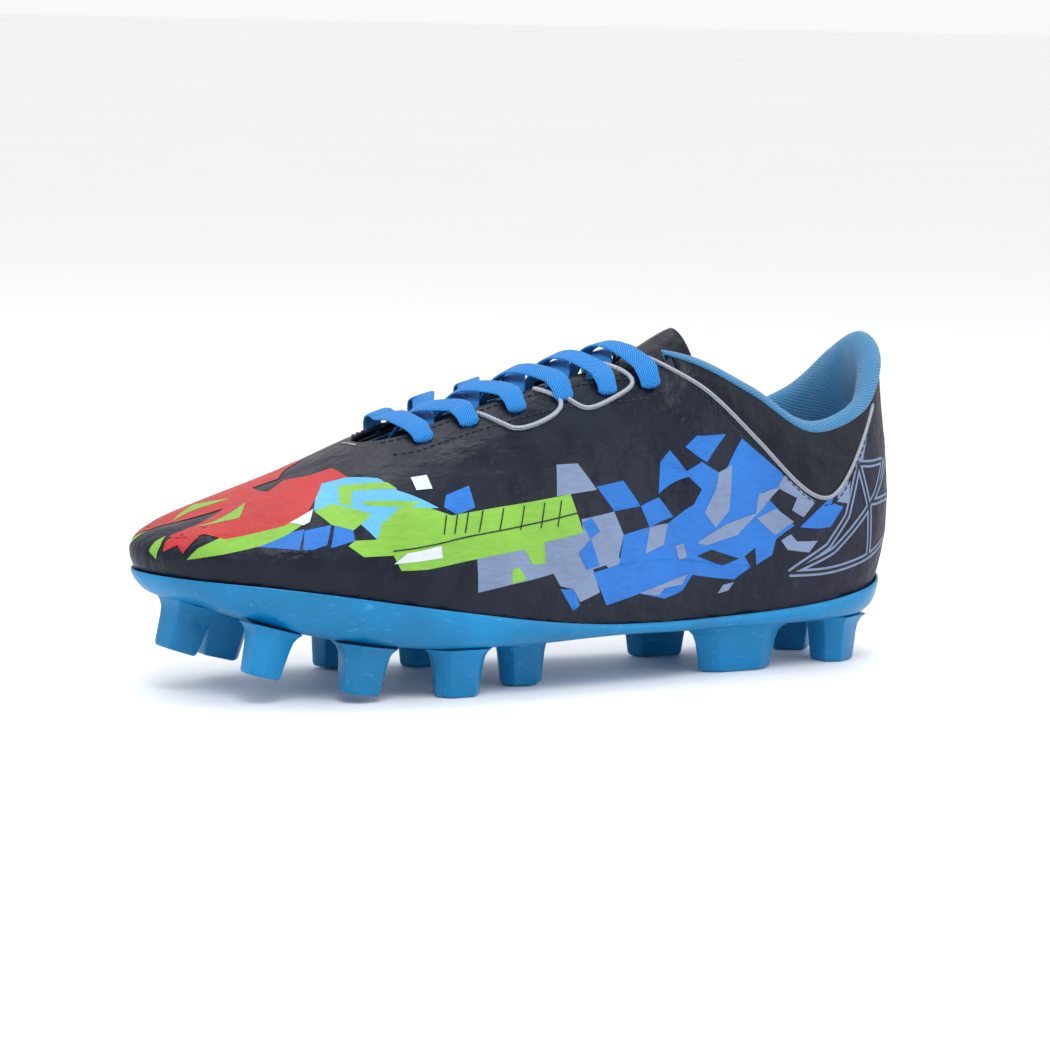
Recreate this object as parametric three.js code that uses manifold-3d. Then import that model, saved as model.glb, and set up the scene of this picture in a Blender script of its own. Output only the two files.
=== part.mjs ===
// Soccer cleat, left foot, moulded studs. Millimetres, +Z up, toe towards -X, lateral (outer) side towards
// -Y, origin on the ground under the middle of the shoe. A point along the shoe is given by its station s,
// the distance from the heel. The upper is one smooth skin over the last; every layer is offset from it.
import * as THREE from "three";
import { mergeVertices } from "three/addons/utils/BufferGeometryUtils.js";
import Module from "manifold-3d";

const wasm = await Module();
wasm.setup();

// Driving dimensions.
const LENGTH = 283; // heel to toe along the feather line, where the upper meets the outsole
const GAP = 0.3; // between pieces that touch
const STUD_HEIGHT = 16; // ground to the underside of the plate
const TOE_SPRING = 20; // how far the plate rises at the toe
const SPRING_START = 182; // station where the toe spring begins
const FLEX_STATION = 207; // ball of the foot, where the sole bends
const FLEX_HEIGHT = 26; // height of the bending axis, at the top of the sock liner
const FLEX_ANGLE = 21; // degrees of room left for the bend
const PLATE = 3; // outsole plate thickness
const BOARD = 1.2; // insole board thickness
const LINER = 3.5; // sock liner thickness
const UPPER = [0, 1.6]; // depth range of each layer below the outer skin
const REINFORCEMENT = [2.4, 3];
const LINING = [3.6, 4.4];
const FOAM_DEPTH = 6.6; // inner face of the collar foam
const COLLAR_LINING = 0.9; // thickness of the knitted collar lining
const RIM = 2.6; // the padded panels stop this far below the collar's edge
const TONGUE = { face: [6.9, 7.7], foam: [8.3, 11.4], lining: [12, 12.8] };
const EYELET_STATIONS = [190, 173, 155, 137, 120, 103];
const EYELET_INSET = 6.5; // from the throat's edge to an eyelet's middle
const EYELET_RADIUS = 2.6;
const SETBACK = 2; // the inner layers stop this far short of the throat's edge
const TUCK = 4; // how far the upper runs down inside the outsole's rim, where the rim is deep enough

const radians = THREE.MathUtils.degToRad;
const lerp = THREE.MathUtils.lerp;
const clamp = THREE.MathUtils.clamp;
const smoothstep = THREE.MathUtils.smoothstep;

// The ribs of the last, from the toe (0) to the middle of the heel (15). Each runs from the feather line at
// station s, half widths lateral and medial, height z, up to its top at station ts, half width t, height tz:
// the ridge over the instep up to rib 9, and the collar's edge after it. heading is the way the rib faces,
// from 0 at the toe to 180 at the heel; flare is its outward lean at the foot, and lean its slope at the top.
// foot and head are how far its curve's handles reach, as shares of its height.
const RIB_FIELDS = [
  "s", "lateral", "medial", "z", "ts", "t", "tz", "heading", "flare", "lean", "foot", "head",
];
const RIBS = [
  [283, -5, 5, 42, 261, 0, 60, 0, 30, 0, 0.5, 0.5],
  [279, 10, 18, 41.8, 258, 0, 61, 28, 28, 0, 0.5, 0.5],
  [269.5, 24, 29, 41.4, 251, 0, 64, 54, 24, 0, 0.48, 0.5],
  [253.5, 35.5, 38, 40.2, 241, 0, 68.3, 72, 20, 0, 0.45, 0.48],
  [232, 43, 44, 37.4, 225, 0, 75, 83, 17, 0, 0.42, 0.45],
  [207, 46.8, 46.3, 33.4, 207, 0, 83.3, 90, 14, 0, 0.4, 0.42],
  [186, 47.5, 43.5, 30, 188, 0, 90.5, 90, 12, 0, 0.4, 0.38],
  [159, 46, 37, 25.8, 162, 0, 100, 90, 10, 0, 0.38, 0.31],
  [131, 42, 31.5, 22.6, 135, 0, 108, 90, 8, 0, 0.38, 0.27],
  [103, 37.5, 28.5, 21.4, 107, 0, 113.5, 90, 6, 0, 0.38, 0.25],
  [80, 34.3, 28.3, 21.5, 88, 20.5, 110.5, 90, 5, 60, 0.38, 0.3],
  [56, 32.7, 29.3, 22.4, 66, 27, 99.5, 90, 6, 80, 0.36, 0.33],
  [34, 31, 29.5, 24.4, 43, 30, 86, 97, 9, 86, 0.36, 0.34],
  [15.5, 25.5, 25, 27.3, 19, 26.5, 92.5, 122, 14, 88, 0.36, 0.35],
  [4, 14, 14, 29.6, 5.5, 15, 107.5, 152, 17, 88, 0.36, 0.35],
  [0, 0, 0, 30.3, 1.5, 0, 114.5, 180, 18, 86, 0.36, 0.35],
].map((row) => Object.fromEntries(RIB_FIELDS.map((field, i) => [field, row[i]])));
const HALF_RING = RIBS.length - 1;
const RING = 2 * HALF_RING; // the ribs run round the shoe: toe 0, medial 1 to 14, heel 15, lateral 16 to 29
const LAST_RIDGE_RIB = 9;

const stationX = (s) => LENGTH / 2 - s;

// One rib of the ring, with its side's signs.
function ringRib(k) {
  const i = ((k % RING) + RING) % RING;
  const side = i <= HALF_RING ? 1 : -1;
  const r = RIBS[side > 0 ? i : RING - i];
  const angle = radians(r.heading);
  return {
    foot: new THREE.Vector3(stationX(r.s), side > 0 ? r.medial : -r.lateral, r.z),
    top: new THREE.Vector3(stationX(r.ts), side * r.t, r.tz),
    out: new THREE.Vector3(-Math.cos(angle), side * Math.sin(angle), 0),
    flare: radians(r.flare),
    lean: radians(r.lean),
    footPull: r.foot,
    topPull: r.head,
  };
}

function spline(a, b, c, d, t) {
  return b + 0.5 * t * (c - a + t * (2 * a - 5 * b + 4 * c - d + t * (3 * (b - c) + d - a)));
}

function splineVector(a, b, c, d, t) {
  return new THREE.Vector3(
    spline(a.x, b.x, c.x, d.x, t),
    spline(a.y, b.y, c.y, d.y, t),
    spline(a.z, b.z, c.z, d.z, t),
  );
}

// The rib at any ring coordinate k, as the four control points of a cubic Bezier curve.
const ribCache = new Map();
function ribCurve(k) {
  const key = k.toFixed(5);
  if (ribCache.has(key)) return ribCache.get(key);
  const i = Math.floor(k);
  const t = k - i;
  const near = [-1, 0, 1, 2].map((step) => ringRib(i + step));
  const mix = (name) => spline(...near.map((r) => r[name]), t);
  const mixVector = (name) => splineVector(...near.map((r) => r[name]), t);
  const foot = mixVector("foot");
  const top = mixVector("top");
  const out = mixVector("out").setZ(0).normalize();
  const reach = foot.distanceTo(top);
  const flare = mix("flare");
  const lean = mix("lean");
  const up = new THREE.Vector3(0, 0, 1);
  const ridge = clamp(LAST_RIDGE_RIB + 1 - Math.abs(ribIndex(k)), 0, 1);
  const slope = ridge * ridgeSlope(near, t);
  const footHandle = out.clone().multiplyScalar(Math.sin(flare)).addScaledVector(up, Math.cos(flare));
  const topHandle = out.clone().multiplyScalar(Math.cos(lean));
  topHandle.addScaledVector(up, slope * topHandle.x - Math.sin(lean));
  const curve = new THREE.CubicBezierCurve3(
    foot,
    foot.clone().addScaledVector(footHandle, reach * mix("footPull")),
    top.clone().addScaledVector(topHandle, reach * mix("topPull")),
    top,
  );
  ribCache.set(key, curve);
  return curve;
}

// Distance of a ring coordinate from the toe, 0 to 15, whichever side it is on.
function ribIndex(k) {
  const i = ((k % RING) + RING) % RING;
  return Math.min(i, RING - i);
}

// The ridge's rise per millimetre of x, so that both sides meet over the instep without a crease.
function ridgeSlope(near, t) {
  const before = splineVector(...near.map((r) => r.top), Math.max(t - 0.01, 0));
  const after = splineVector(...near.map((r) => r.top), Math.min(t + 0.01, 1));
  const run = after.x - before.x;
  return Math.abs(run) < 1e-4 ? 0.3 : clamp((after.z - before.z) / run, -0.6, 0.6);
}

// A point of the outer skin: v is 0 at the feather line and 1 at the rib's top, and may run a bit past them.
function skin(k, v) {
  const { v0, v1, v2, v3 } = ribCurve(k);
  const w = 1 - v;
  return new THREE.Vector3()
    .addScaledVector(v0, w * w * w)
    .addScaledVector(v1, 3 * w * w * v)
    .addScaledVector(v2, 3 * w * v * v)
    .addScaledVector(v3, v * v * v);
}

const STEP_K = 0.02;
const STEP_V = 0.01;
function skinNormal(k, v) {
  const onRidge = ribIndex(k) <= FLEX_RIB + 0.01 && v > 1 - STEP_V;
  const along = onRidge
    ? skin(Math.abs(k) + STEP_K, 1).sub(skin(Math.abs(k) - STEP_K, 1)).setY(0)
    : skin(k + STEP_K, v).sub(skin(k - STEP_K, v));
  if (onRidge) {
    if (along.length() < 1e-3) along.set(1, 0, 0.3);
    const normal = new THREE.Vector3(-along.z, 0, along.x).normalize();
    return normal.z < 0 ? normal.negate() : normal;
  }
  const rise = skin(k, v + STEP_V).sub(skin(k, v - STEP_V));
  return rise.cross(along).normalize();
}

// A point at a depth below the outer skin.
function layered(k, v, depth) {
  return skin(k, v).addScaledVector(skinNormal(k, v), -depth);
}

const FLEX_RIB = 5; // the planar rib at the ball, where the vamp ends and the quarters begin
const HEEL = HALF_RING;

// Half width of the throat between the eyestays, by rib.
function throatHalfWidth(rib) {
  const opened = 3.5 + 9 * Math.sqrt(clamp((rib - FLEX_RIB) / 0.9, 0, 1));
  return opened + 1.1 * Math.max(rib - FLEX_RIB - 0.9, 0);
}

// The v at which a rib reaches a given half width from the ridge.
function vAtHalfWidth(k, halfWidth) {
  if (Math.abs(skin(k, 1).y) >= halfWidth) return 1;
  let low = 0.4;
  let high = 1;
  for (let i = 0; i < 30; i++) {
    const middle = (low + high) / 2;
    if (Math.abs(skin(k, middle).y) > halfWidth) low = middle;
    else high = middle;
  }
  return low;
}

// The v that lies a distance below the rib's top, measured along the skin.
function vBelowTop(k, distance) {
  return 1 - distance / ribCurve(k).getLength();
}

const throatV = (k) => vAtHalfWidth(k, throatHalfWidth(ribIndex(k)));

// Depth of the padded collar panel below the collar's edge, down to its piping: it dips behind the ankle.
const PANEL_START = 9.75;
const PANEL_END = 13.5;
function panelDrop(rib) {
  const forward = lerp(9, 25, smoothstep(rib, PANEL_START, 12.1));
  return rib < 12.1 ? forward : lerp(25, RIM, smoothstep(rib, 12.1, PANEL_END));
}

function hasPanel(k) {
  return ribIndex(k) > PANEL_START && ribIndex(k) < PANEL_END;
}

// Where the quarter ends upwards: at the throat, at the panel's piping, or at the heel's padded rim.
function quarterTop(k) {
  const rib = ribIndex(k);
  if (hasPanel(k)) return vBelowTop(k, panelDrop(rib) + GAP);
  if (rib >= PANEL_END) return vBelowTop(k, RIM);
  return throatV(k);
}

function plateBottom(s) {
  const spring = clamp((s - SPRING_START) / (LENGTH - SPRING_START), 0, 1);
  const arch = Math.exp(-(((s - 122) / 26) ** 2));
  return STUD_HEIGHT + TOE_SPRING * spring * spring + 1.2 * arch;
}

// ---- solids from grids --------------------------------------------------------------------------

// A closed solid from its quads, given as lists of corners that turn anticlockwise seen from outside.
function solidFromQuads(quads) {
  const positions = [];
  for (const [a, b, c, d] of quads) {
    for (const p of [a, b, c, a, c, d]) positions.push(p.x, p.y, p.z);
  }
  const geometry = new THREE.BufferGeometry();
  geometry.setAttribute("position", new THREE.Float32BufferAttribute(positions, 3));
  return toSolid(geometry);
}

function toSolid(geometry) {
  const bare = geometry.clone();
  bare.deleteAttribute("normal");
  bare.deleteAttribute("uv");
  const merged = mergeVertices(bare, 2e-3);
  const triVerts = dropCollapsed(merged.index.array);
  const mesh = new wasm.Mesh({ numProp: 3, vertProperties: merged.attributes.position.array, triVerts });
  const solid = new wasm.Manifold(mesh);
  if (solid.volume() > 0) return solid;
  for (let i = 0; i < triVerts.length; i += 3) {
    [triVerts[i], triVerts[i + 1]] = [triVerts[i + 1], triVerts[i]];
  }
  return new wasm.Manifold(
    new wasm.Mesh({ numProp: 3, vertProperties: merged.attributes.position.array, triVerts }),
  );
}

// Triangles that merging has collapsed to a line are left out.
function dropCollapsed(index) {
  const kept = [];
  for (let i = 0; i < index.length; i += 3) {
    const [a, b, c] = [index[i], index[i + 1], index[i + 2]];
    if (a !== b && b !== c && c !== a) kept.push(a, b, c);
  }
  return new Uint32Array(kept);
}

function toGeometry(solid) {
  const mesh = solid.getMesh();
  const positions = new Float32Array(mesh.numVert * 3);
  for (let i = 0; i < mesh.numVert; i++) {
    positions.set(mesh.vertProperties.subarray(i * mesh.numProp, i * mesh.numProp + 3), i * 3);
  }
  const geometry = new THREE.BufferGeometry();
  geometry.setAttribute("position", new THREE.BufferAttribute(positions, 3));
  geometry.setIndex(new THREE.BufferAttribute(new Uint32Array(mesh.triVerts), 1));
  geometry.computeVertexNormals();
  return geometry;
}

function steps(from, to, count) {
  return Array.from({ length: count + 1 }, (_, i) => lerp(from, to, i / count));
}

// Every layer has its columns at the same ring coordinates, so that their facets lie parallel.
const COLUMN_RIBS = [...steps(0, HEEL, 2 * HEEL), 5.2, PANEL_START - 0.01, PANEL_START + 0.01];
const COLUMNS = [-RING, 0, RING].flatMap((turn) => COLUMN_RIBS.flatMap((rib) => [turn + rib, turn - rib]));

function columnsBetween(from, to) {
  const [low, high] = [Math.min(from, to), Math.max(from, to)];
  const between = COLUMNS.filter((k) => k > low + 0.1 && k < high - 0.1);
  const sorted = [...new Set([low, ...between, high])].sort((a, b) => a - b);
  return from < to ? sorted : sorted.reverse();
}

// A solid swept over columns, each a closed loop of points; the ends are closed by strips across the loop.
// open leaves out the quads that start at that loop index, where the two sides meet over the ridge.
function sweep(loops, open = -1) {
  const quads = [];
  const size = loops[0].length;
  for (let i = 0; i + 1 < loops.length; i++) {
    for (let j = 0; j < size; j++) {
      if (j === open) continue;
      const next = (j + 1) % size;
      quads.push([loops[i][j], loops[i][next], loops[i + 1][next], loops[i + 1][j]]);
    }
  }
  for (const [loop, turned] of [[loops[0], true], [loops.at(-1), false]]) {
    for (let j = 0; j + 1 < size / 2; j++) {
      const quad = [loop[j], loop[j + 1], loop[size - 2 - j], loop[size - 1 - j]];
      quads.push(turned ? quad.reverse() : quad);
    }
  }
  return solidFromQuads(quads);
}

// A layer of the upper between two depths, over ring coordinates from..to and v from low(k) to high(k).
function layer({ from, to, low, high, rows, depths, overRidge = false }) {
  const loops = columnsBetween(from, to).map((k) => {
    const vs = steps(low(k), high(k), rows);
    const outside = vs.map((v) => layered(k, v, depths[0]));
    const inside = vs.map((v) => layered(k, v, depths[1]));
    return [...outside, ...inside.reverse()];
  });
  return sweep(loops, overRidge ? rows : -1);
}

// ---- cutting tools ------------------------------------------------------------------------------

// A slab across the whole width from an outline in the XZ plane.
function acrossSlab(points) {
  const width = 200;
  const outline = new THREE.Shape(points.map(([x, z]) => new THREE.Vector2(x, z)));
  const geometry = new THREE.ExtrudeGeometry(outline, { depth: width, bevelEnabled: false });
  geometry.rotateX(Math.PI / 2).translate(0, width / 2, 0);
  return toSolid(geometry);
}

const FLEX_X = stationX(FLEX_STATION);
const FAR = 300;
const LEAN = Math.tan(radians(FLEX_ANGLE)) * FAR;
const frontRoom = acrossSlab([
  [FLEX_X - GAP / 2, -FAR],
  [FLEX_X - GAP / 2, FLEX_HEIGHT],
  [FLEX_X - GAP / 2 - LEAN, FLEX_HEIGHT + FAR],
  [-FAR, FLEX_HEIGHT + FAR],
  [-FAR, -FAR],
]);
const rearRoom = acrossSlab([
  [FLEX_X + GAP / 2, -FAR],
  [FAR, -FAR],
  [FAR, FAR],
  [FLEX_X + GAP / 2, FAR],
]);
const wedgeStart = 7; // the crease zone begins this far above the bending axis
const creaseRoom = acrossSlab([
  [FLEX_X - GAP / 2, FLEX_HEIGHT + wedgeStart],
  [FLEX_X - GAP / 2, FLEX_HEIGHT + FAR],
  [FLEX_X + GAP / 2 - LEAN, FLEX_HEIGHT + FAR],
  [FLEX_X + GAP / 2 - LEAN * (wedgeStart / FAR), FLEX_HEIGHT + wedgeStart],
]);

// An eyelet punch through all layers of an eyestay.
function eyeletPunch(k, v) {
  const from = layered(k, v, -2);
  const to = layered(k, v, LINING[1] + 1.5);
  const punch = new THREE.CylinderGeometry(EYELET_RADIUS, EYELET_RADIUS, from.distanceTo(to), 8);
  const turn = new THREE.Quaternion().setFromUnitVectors(
    new THREE.Vector3(0, 1, 0),
    from.clone().sub(to).normalize(),
  );
  punch.applyQuaternion(turn);
  const middle = from.clone().add(to).multiplyScalar(0.5);
  punch.translate(middle.x, middle.y, middle.z);
  return toSolid(punch);
}

// The ring coordinate, on one side, whose throat edge lies at a station.
function ringAtStation(side, s) {
  let low = FLEX_RIB;
  let high = LAST_RIDGE_RIB + 0.6;
  for (let i = 0; i < 30; i++) {
    const middle = (low + high) / 2;
    const k = side * middle;
    if (skin(k, throatV(k)).x < stationX(s)) low = middle;
    else high = middle;
  }
  return side * low;
}

// Ring coordinate and v of each eyelet, front to back; side is -1 lateral, 1 medial.
function eyelets(side) {
  return EYELET_STATIONS.map((s) => {
    const k = ringAtStation(side, s);
    const v = throatV(k) - EYELET_INSET / ribCurve(k).getLength();
    return { k, v };
  });
}

function punchEyelets(solid, side) {
  return eyelets(side).reduce((left, { k, v }) => left.subtract(eyeletPunch(k, v)), solid);
}

// ---- the sole -----------------------------------------------------------------------------------

// A loop of the outsole's cup at a ring coordinate: over the rim, down the wall and along to the spine.
function cupLoop(k) {
  const foot = skin(k, 0);
  const { v0, v1 } = ribCurve(k);
  const tilt = v1.clone().sub(v0);
  const out = new THREE.Vector3(tilt.x, tilt.y, 0);
  const spread = out.length() / tilt.z;
  out.normalize();
  const s = LENGTH / 2 - foot.x;
  const bottom = plateBottom(clamp(s, 8, LENGTH - 9));
  const wall = foot.z - bottom;
  const spineS = clamp(s, 22, LENGTH - 22);
  const spineBottom = plateBottom(spineS);
  const place = (offset, drop) =>
    foot.clone().addScaledVector(out, offset - spread * Math.min(drop, 6)).setZ(foot.z - drop);
  const spineX = stationX(spineS);
  const spineY = lerp(0, 4, smoothstep(spineS, 180, LENGTH));
  return [
    place(0.35, 0),
    place(1.7, 0),
    place(2.1, 0.4 * wall),
    place(0.4, 0.75 * wall),
    place(-5.5, wall),
    new THREE.Vector3(spineX, spineY, spineBottom),
    new THREE.Vector3(spineX, spineY, spineBottom + PLATE),
    place(-6.5, wall - PLATE),
    place(-2.8, Math.max(0.72 * wall - PLATE / 2, 1)),
    place(0.35, Math.min(5.4, 0.5 * wall)),
  ];
}

// A ring of loops that meet along the spine, so the strip between the two spine points is left out.
function soleRing(loopAt, open) {
  const ring = steps(0, RING, 2 * RING).map(loopAt);
  const quads = [];
  const size = ring[0].length;
  for (let i = 0; i + 1 < ring.length; i++) {
    for (let j = 0; j < size; j++) {
      if (j === open) continue;
      const next = (j + 1) % size;
      quads.push([ring[i][j], ring[i][next], ring[i + 1][next], ring[i + 1][j]]);
    }
  }
  return solidFromQuads(quads);
}

// A sheet lying over the plate: its edge is inset from the edge of the cup's floor.
function soleSheet(inset, rise, thickness) {
  return soleRing((k) => {
    const [, , , , , spineLow, spineHigh, floorEdge] = cupLoop(k);
    const inward = spineHigh.clone().sub(floorEdge).setZ(0).normalize();
    const edge = floorEdge.clone().addScaledVector(inward, inset);
    const low = floorEdge.z + rise;
    return [
      edge.clone().setZ(low),
      spineLow.clone().setZ(spineHigh.z + rise),
      spineLow.clone().setZ(spineHigh.z + rise + thickness),
      edge.clone().setZ(low + thickness),
    ];
  }, 1);
}

// Each stud: middle station and y, length and width of its foot, turn about Z in degrees. Order from the toe.
const STUDS = {
  toe: { s: 265, y: 5, long: 15, wide: 12, turn: 0 },
  lateral_front: { s: 249, y: -27, long: 15, wide: 10, turn: 24 },
  medial_front: { s: 240, y: 29, long: 15, wide: 10, turn: -16 },
  lateral_ball: { s: 218, y: -34.5, long: 15.5, wide: 10.5, turn: 9 },
  medial_ball: { s: 196, y: 33, long: 15.5, wide: 10.5, turn: -3 },
  lateral_rear: { s: 184, y: -35, long: 16.5, wide: 11, turn: 0 },
  medial_rear: { s: 166, y: 27, long: 16, wide: 11, turn: 8 },
  centre: { s: 153, y: -22, long: 15, wide: 11, turn: -6 },
  heel_medial: { s: 76, y: 17.5, long: 22, wide: 9.5, turn: 0 },
  heel_lateral: { s: 67, y: -21.5, long: 29, wide: 9.5, turn: 0 },
  back_medial: { s: 22, y: 13.5, long: 15, wide: 11, turn: -30 },
  back_lateral: { s: 21, y: -14, long: 16, wide: 12, turn: 30 },
};
const STUD_FLARE = 1.55; // the root of a stud against its foot

// A stud is a tapered prism of six sides: flat foot, straight shank and a flared root sunk in the plate.
function stud({ s, y, long, wide, turn }) {
  const bottom = plateBottom(s);
  const pitch = Math.atan((plateBottom(s + 1) - plateBottom(s - 1)) / 2);
  const section = (scale, z) =>
    [[-0.5, -0.12], [-0.28, -0.5], [0.28, -0.5], [0.5, -0.12], [0.36, 0.5], [-0.36, 0.5]].map(
      ([a, b]) => new THREE.Vector3(a * long * scale, b * wide * scale, z),
    );
  const loops = [
    section(0.9, -STUD_HEIGHT),
    section(1, 1 - STUD_HEIGHT),
    section(1.14, -5.5),
    section(1.28, -2),
    section(STUD_FLARE, 0.6),
  ];
  const quads = [];
  for (let i = 0; i + 1 < loops.length; i++) {
    for (let j = 0; j < 6; j++) {
      const next = (j + 1) % 6;
      quads.push([loops[i][j], loops[i][next], loops[i + 1][next], loops[i + 1][j]]);
    }
  }
  for (const [loop, turned] of [[loops[0], true], [loops.at(-1), false]]) {
    const halves = [[loop[0], loop[1], loop[2], loop[3]], [loop[0], loop[3], loop[4], loop[5]]];
    for (const quad of halves) quads.push(turned ? quad.reverse() : quad);
  }
  const geometry = toGeometry(solidFromQuads(quads));
  geometry.rotateZ(radians(y < 0 ? turn : turn + 180));
  geometry.rotateY(pitch);
  geometry.translate(stationX(s), y, bottom);
  return toSolid(geometry);
}

const cup = soleRing(cupLoop, 5);
const outsole = Object.values(STUDS).reduce((joined, one) => joined.add(stud(one)), cup);
const board = soleSheet(0.4, GAP, BOARD);
const sockLiner = soleSheet(0.8, 2 * GAP + BOARD, LINER);

// ---- the upper ----------------------------------------------------------------------------------

function tuck(k) {
  const foot = skin(k, 0);
  const room = foot.z - plateBottom(LENGTH / 2 - foot.x) - PLATE - 2;
  return -Math.min(TUCK, room) / ribCurve(k).getLength();
}
const ridgeTop = () => 1;
const vampOuter = layer({
  from: -FLEX_RIB, to: FLEX_RIB, low: tuck, high: ridgeTop, rows: 8, depths: UPPER, overRidge: true,
});
const vampInner = layer({
  from: -FLEX_RIB, to: FLEX_RIB, low: tuck, high: ridgeTop, rows: 7, depths: LINING, overRidge: true,
});
const toePuff = layer({
  from: -2.6, to: 2.6, low: () => 0.05, high: ridgeTop, rows: 5, depths: REINFORCEMENT, overRidge: true,
});

const QUARTER_START = FLEX_RIB + 0.03;
const QUARTER_END = HEEL - 0.03;

// A span of ring coordinates on one side, front to back.
const span = (side, from, to) => (side > 0 ? { from, to } : { from: -from, to: -to });

function quarter(side) {
  const solid = layer({
    ...span(side, QUARTER_START, QUARTER_END),
    low: tuck, high: quarterTop, rows: 7, depths: UPPER,
  });
  return punchEyelets(solid, side).intersect(rearRoom);
}

function collarPanel(side) {
  return layer({
    ...span(side, PANEL_START + 0.05, PANEL_END - 0.35),
    low: (k) => vBelowTop(k, panelDrop(ribIndex(k))),
    high: (k) => vBelowTop(k, RIM),
    rows: 3,
    depths: UPPER,
  });
}

const eyestayEnd = LAST_RIDGE_RIB + 0.4;
function eyestay(side) {
  const width = 15;
  const solid = layer({
    ...span(side, QUARTER_START + 0.12, eyestayEnd),
    low: (k) => throatV(k) - width / ribCurve(k).getLength(),
    high: (k) => throatV(k) - SETBACK / ribCurve(k).getLength(),
    rows: 2,
    depths: REINFORCEMENT,
  });
  return punchEyelets(solid, side).intersect(rearRoom);
}

// The quarter's lining reaches the throat in front, and stops below the collar's padding behind.
const LINING_DROP = 36;
function quarterLining(side) {
  const solid = layer({
    ...span(side, QUARTER_START, QUARTER_END),
    low: tuck,
    high: (k) => {
      const behind = smoothstep(ribIndex(k), LAST_RIDGE_RIB + 0.1, LAST_RIDGE_RIB + 0.7);
      const edge = throatV(k) - SETBACK / ribCurve(k).getLength();
      return lerp(edge, vBelowTop(k, LINING_DROP + GAP), behind);
    },
    rows: 5,
    depths: LINING,
  });
  return punchEyelets(solid, side).intersect(rearRoom);
}

const heelCounter = layer({
  from: 11.6, to: RING - 11.6, low: () => 0.02, high: (k) => vBelowTop(k, 40), rows: 4, depths: REINFORCEMENT,
});

// The collar's padding fades in from the top eyelet.
const COLLAR_START = 9.95;
const padding = (k) => smoothstep(ribIndex(k), COLLAR_START, COLLAR_START + 1.3);

// A loop across the collar from (drop below the edge, depth below the skin) pairs.
function collarLoop(k, pairs) {
  return pairs.map(([drop, depth]) => layered(k, vBelowTop(k, drop), depth));
}

const collarColumns = columnsBetween(COLLAR_START, RING - COLLAR_START);
const collarFoam = sweep(
  collarColumns.slice(2, -2).map((k) => {
    const full = lerp(2.9, FOAM_DEPTH, padding(k));
    const skinSide = UPPER[1] + 2 * GAP;
    const middle = (skinSide + full) / 2;
    const foot = LINING_DROP - 5;
    return collarLoop(k, [
      [1, middle], [2.4, skinSide], [foot, skinSide],
      [foot, 2.6], [0.55 * foot, full], [2.6, full],
    ]);
  }),
);
const collarLining = sweep(
  collarColumns.map((k) => {
    const full = lerp(2.9, FOAM_DEPTH, padding(k)) + GAP;
    const back = full + COLLAR_LINING;
    const middle = back / 2;
    const ankle = 0.55 * (LINING_DROP - 5);
    return collarLoop(k, [
      [2.2, 0.2], [0.3, 0.5], [-1.1, middle], [0.2, back], [3, back], [ankle, back],
      [LINING_DROP, LINING[1]], [LINING_DROP, LINING[0]],
      [ankle, full], [2.6, full], [0.9, full - 0.5], [0, middle], [0.8, 1.5], [2.2, 1.4],
    ]);
  }),
);

// ---- the tongue ---------------------------------------------------------------------------------

const TONGUE_FRONT = 5.35;
const TONGUE_LAST = 9;
const TONGUE_FREE = 28; // length of the tongue that stands free above the last ridge rib
const TONGUE_HALF_WIDTH = [21, 26];

// A loop across the tongue at t, 0 at the throat and 1 at its free end, between two depths.
function tongueLoop(t, [high, low], rows) {
  const bound = 0.74;
  const ribbed = Math.min(t / bound, 1);
  const free = Math.max(t - bound, 0) / (1 - bound);
  const k = lerp(TONGUE_FRONT, TONGUE_LAST, ribbed);
  const half = lerp(...TONGUE_HALF_WIDTH, ribbed) * (1 - 0.18 * free * free);
  const back = new THREE.Vector3(0.84, 0, 0.54).multiplyScalar(TONGUE_FREE * free);
  const sideOf = (side, depth) =>
    steps(vAtHalfWidth(side * k, half), 1, rows).map((v) => layered(side * k, v, depth).add(back));
  const across = (depth) => {
    const lateral = sideOf(-1, depth);
    const medial = sideOf(1, depth).reverse();
    return [...lateral.slice(0, -1), ...medial.slice(1)];
  };
  return [...across(high), ...across(low).reverse()];
}

const TONGUE_COLUMNS = steps(0, 1, 12);

function tonguePiece(depths, columns = TONGUE_COLUMNS) {
  return sweep(columns.map((t) => tongueLoop(t, depths, 5)));
}

// ---- the lace -----------------------------------------------------------------------------------

const LACE = { half: 3.2, thick: 0.7 }; // half width and half thickness of the flat lace
const PUNCHED = { half: 1.9, thick: 0.9 }; // as it bunches through an eyelet

// A point on the lace: ring coordinate, v, depth, and the section there.
const lacePoint = (k, v, depth, section = LACE) => ({
  at: layered(k, v, depth),
  up: skinNormal(k, v),
  half: section.half,
  thick: section.thick,
});

// A point over the tongue between the eyestays, at a station, a y and a depth below the ridge.
function openPoint(s, y, depth) {
  const k = Math.sign(y || 1) * Math.abs(ringAtStation(-1, s));
  const v = vAtHalfWidth(k, Math.max(Math.abs(y), 0.5));
  return { at: layered(k, v, depth).setY(y), up: skinNormal(k, v), half: LACE.half, thick: LACE.thick };
}

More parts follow.
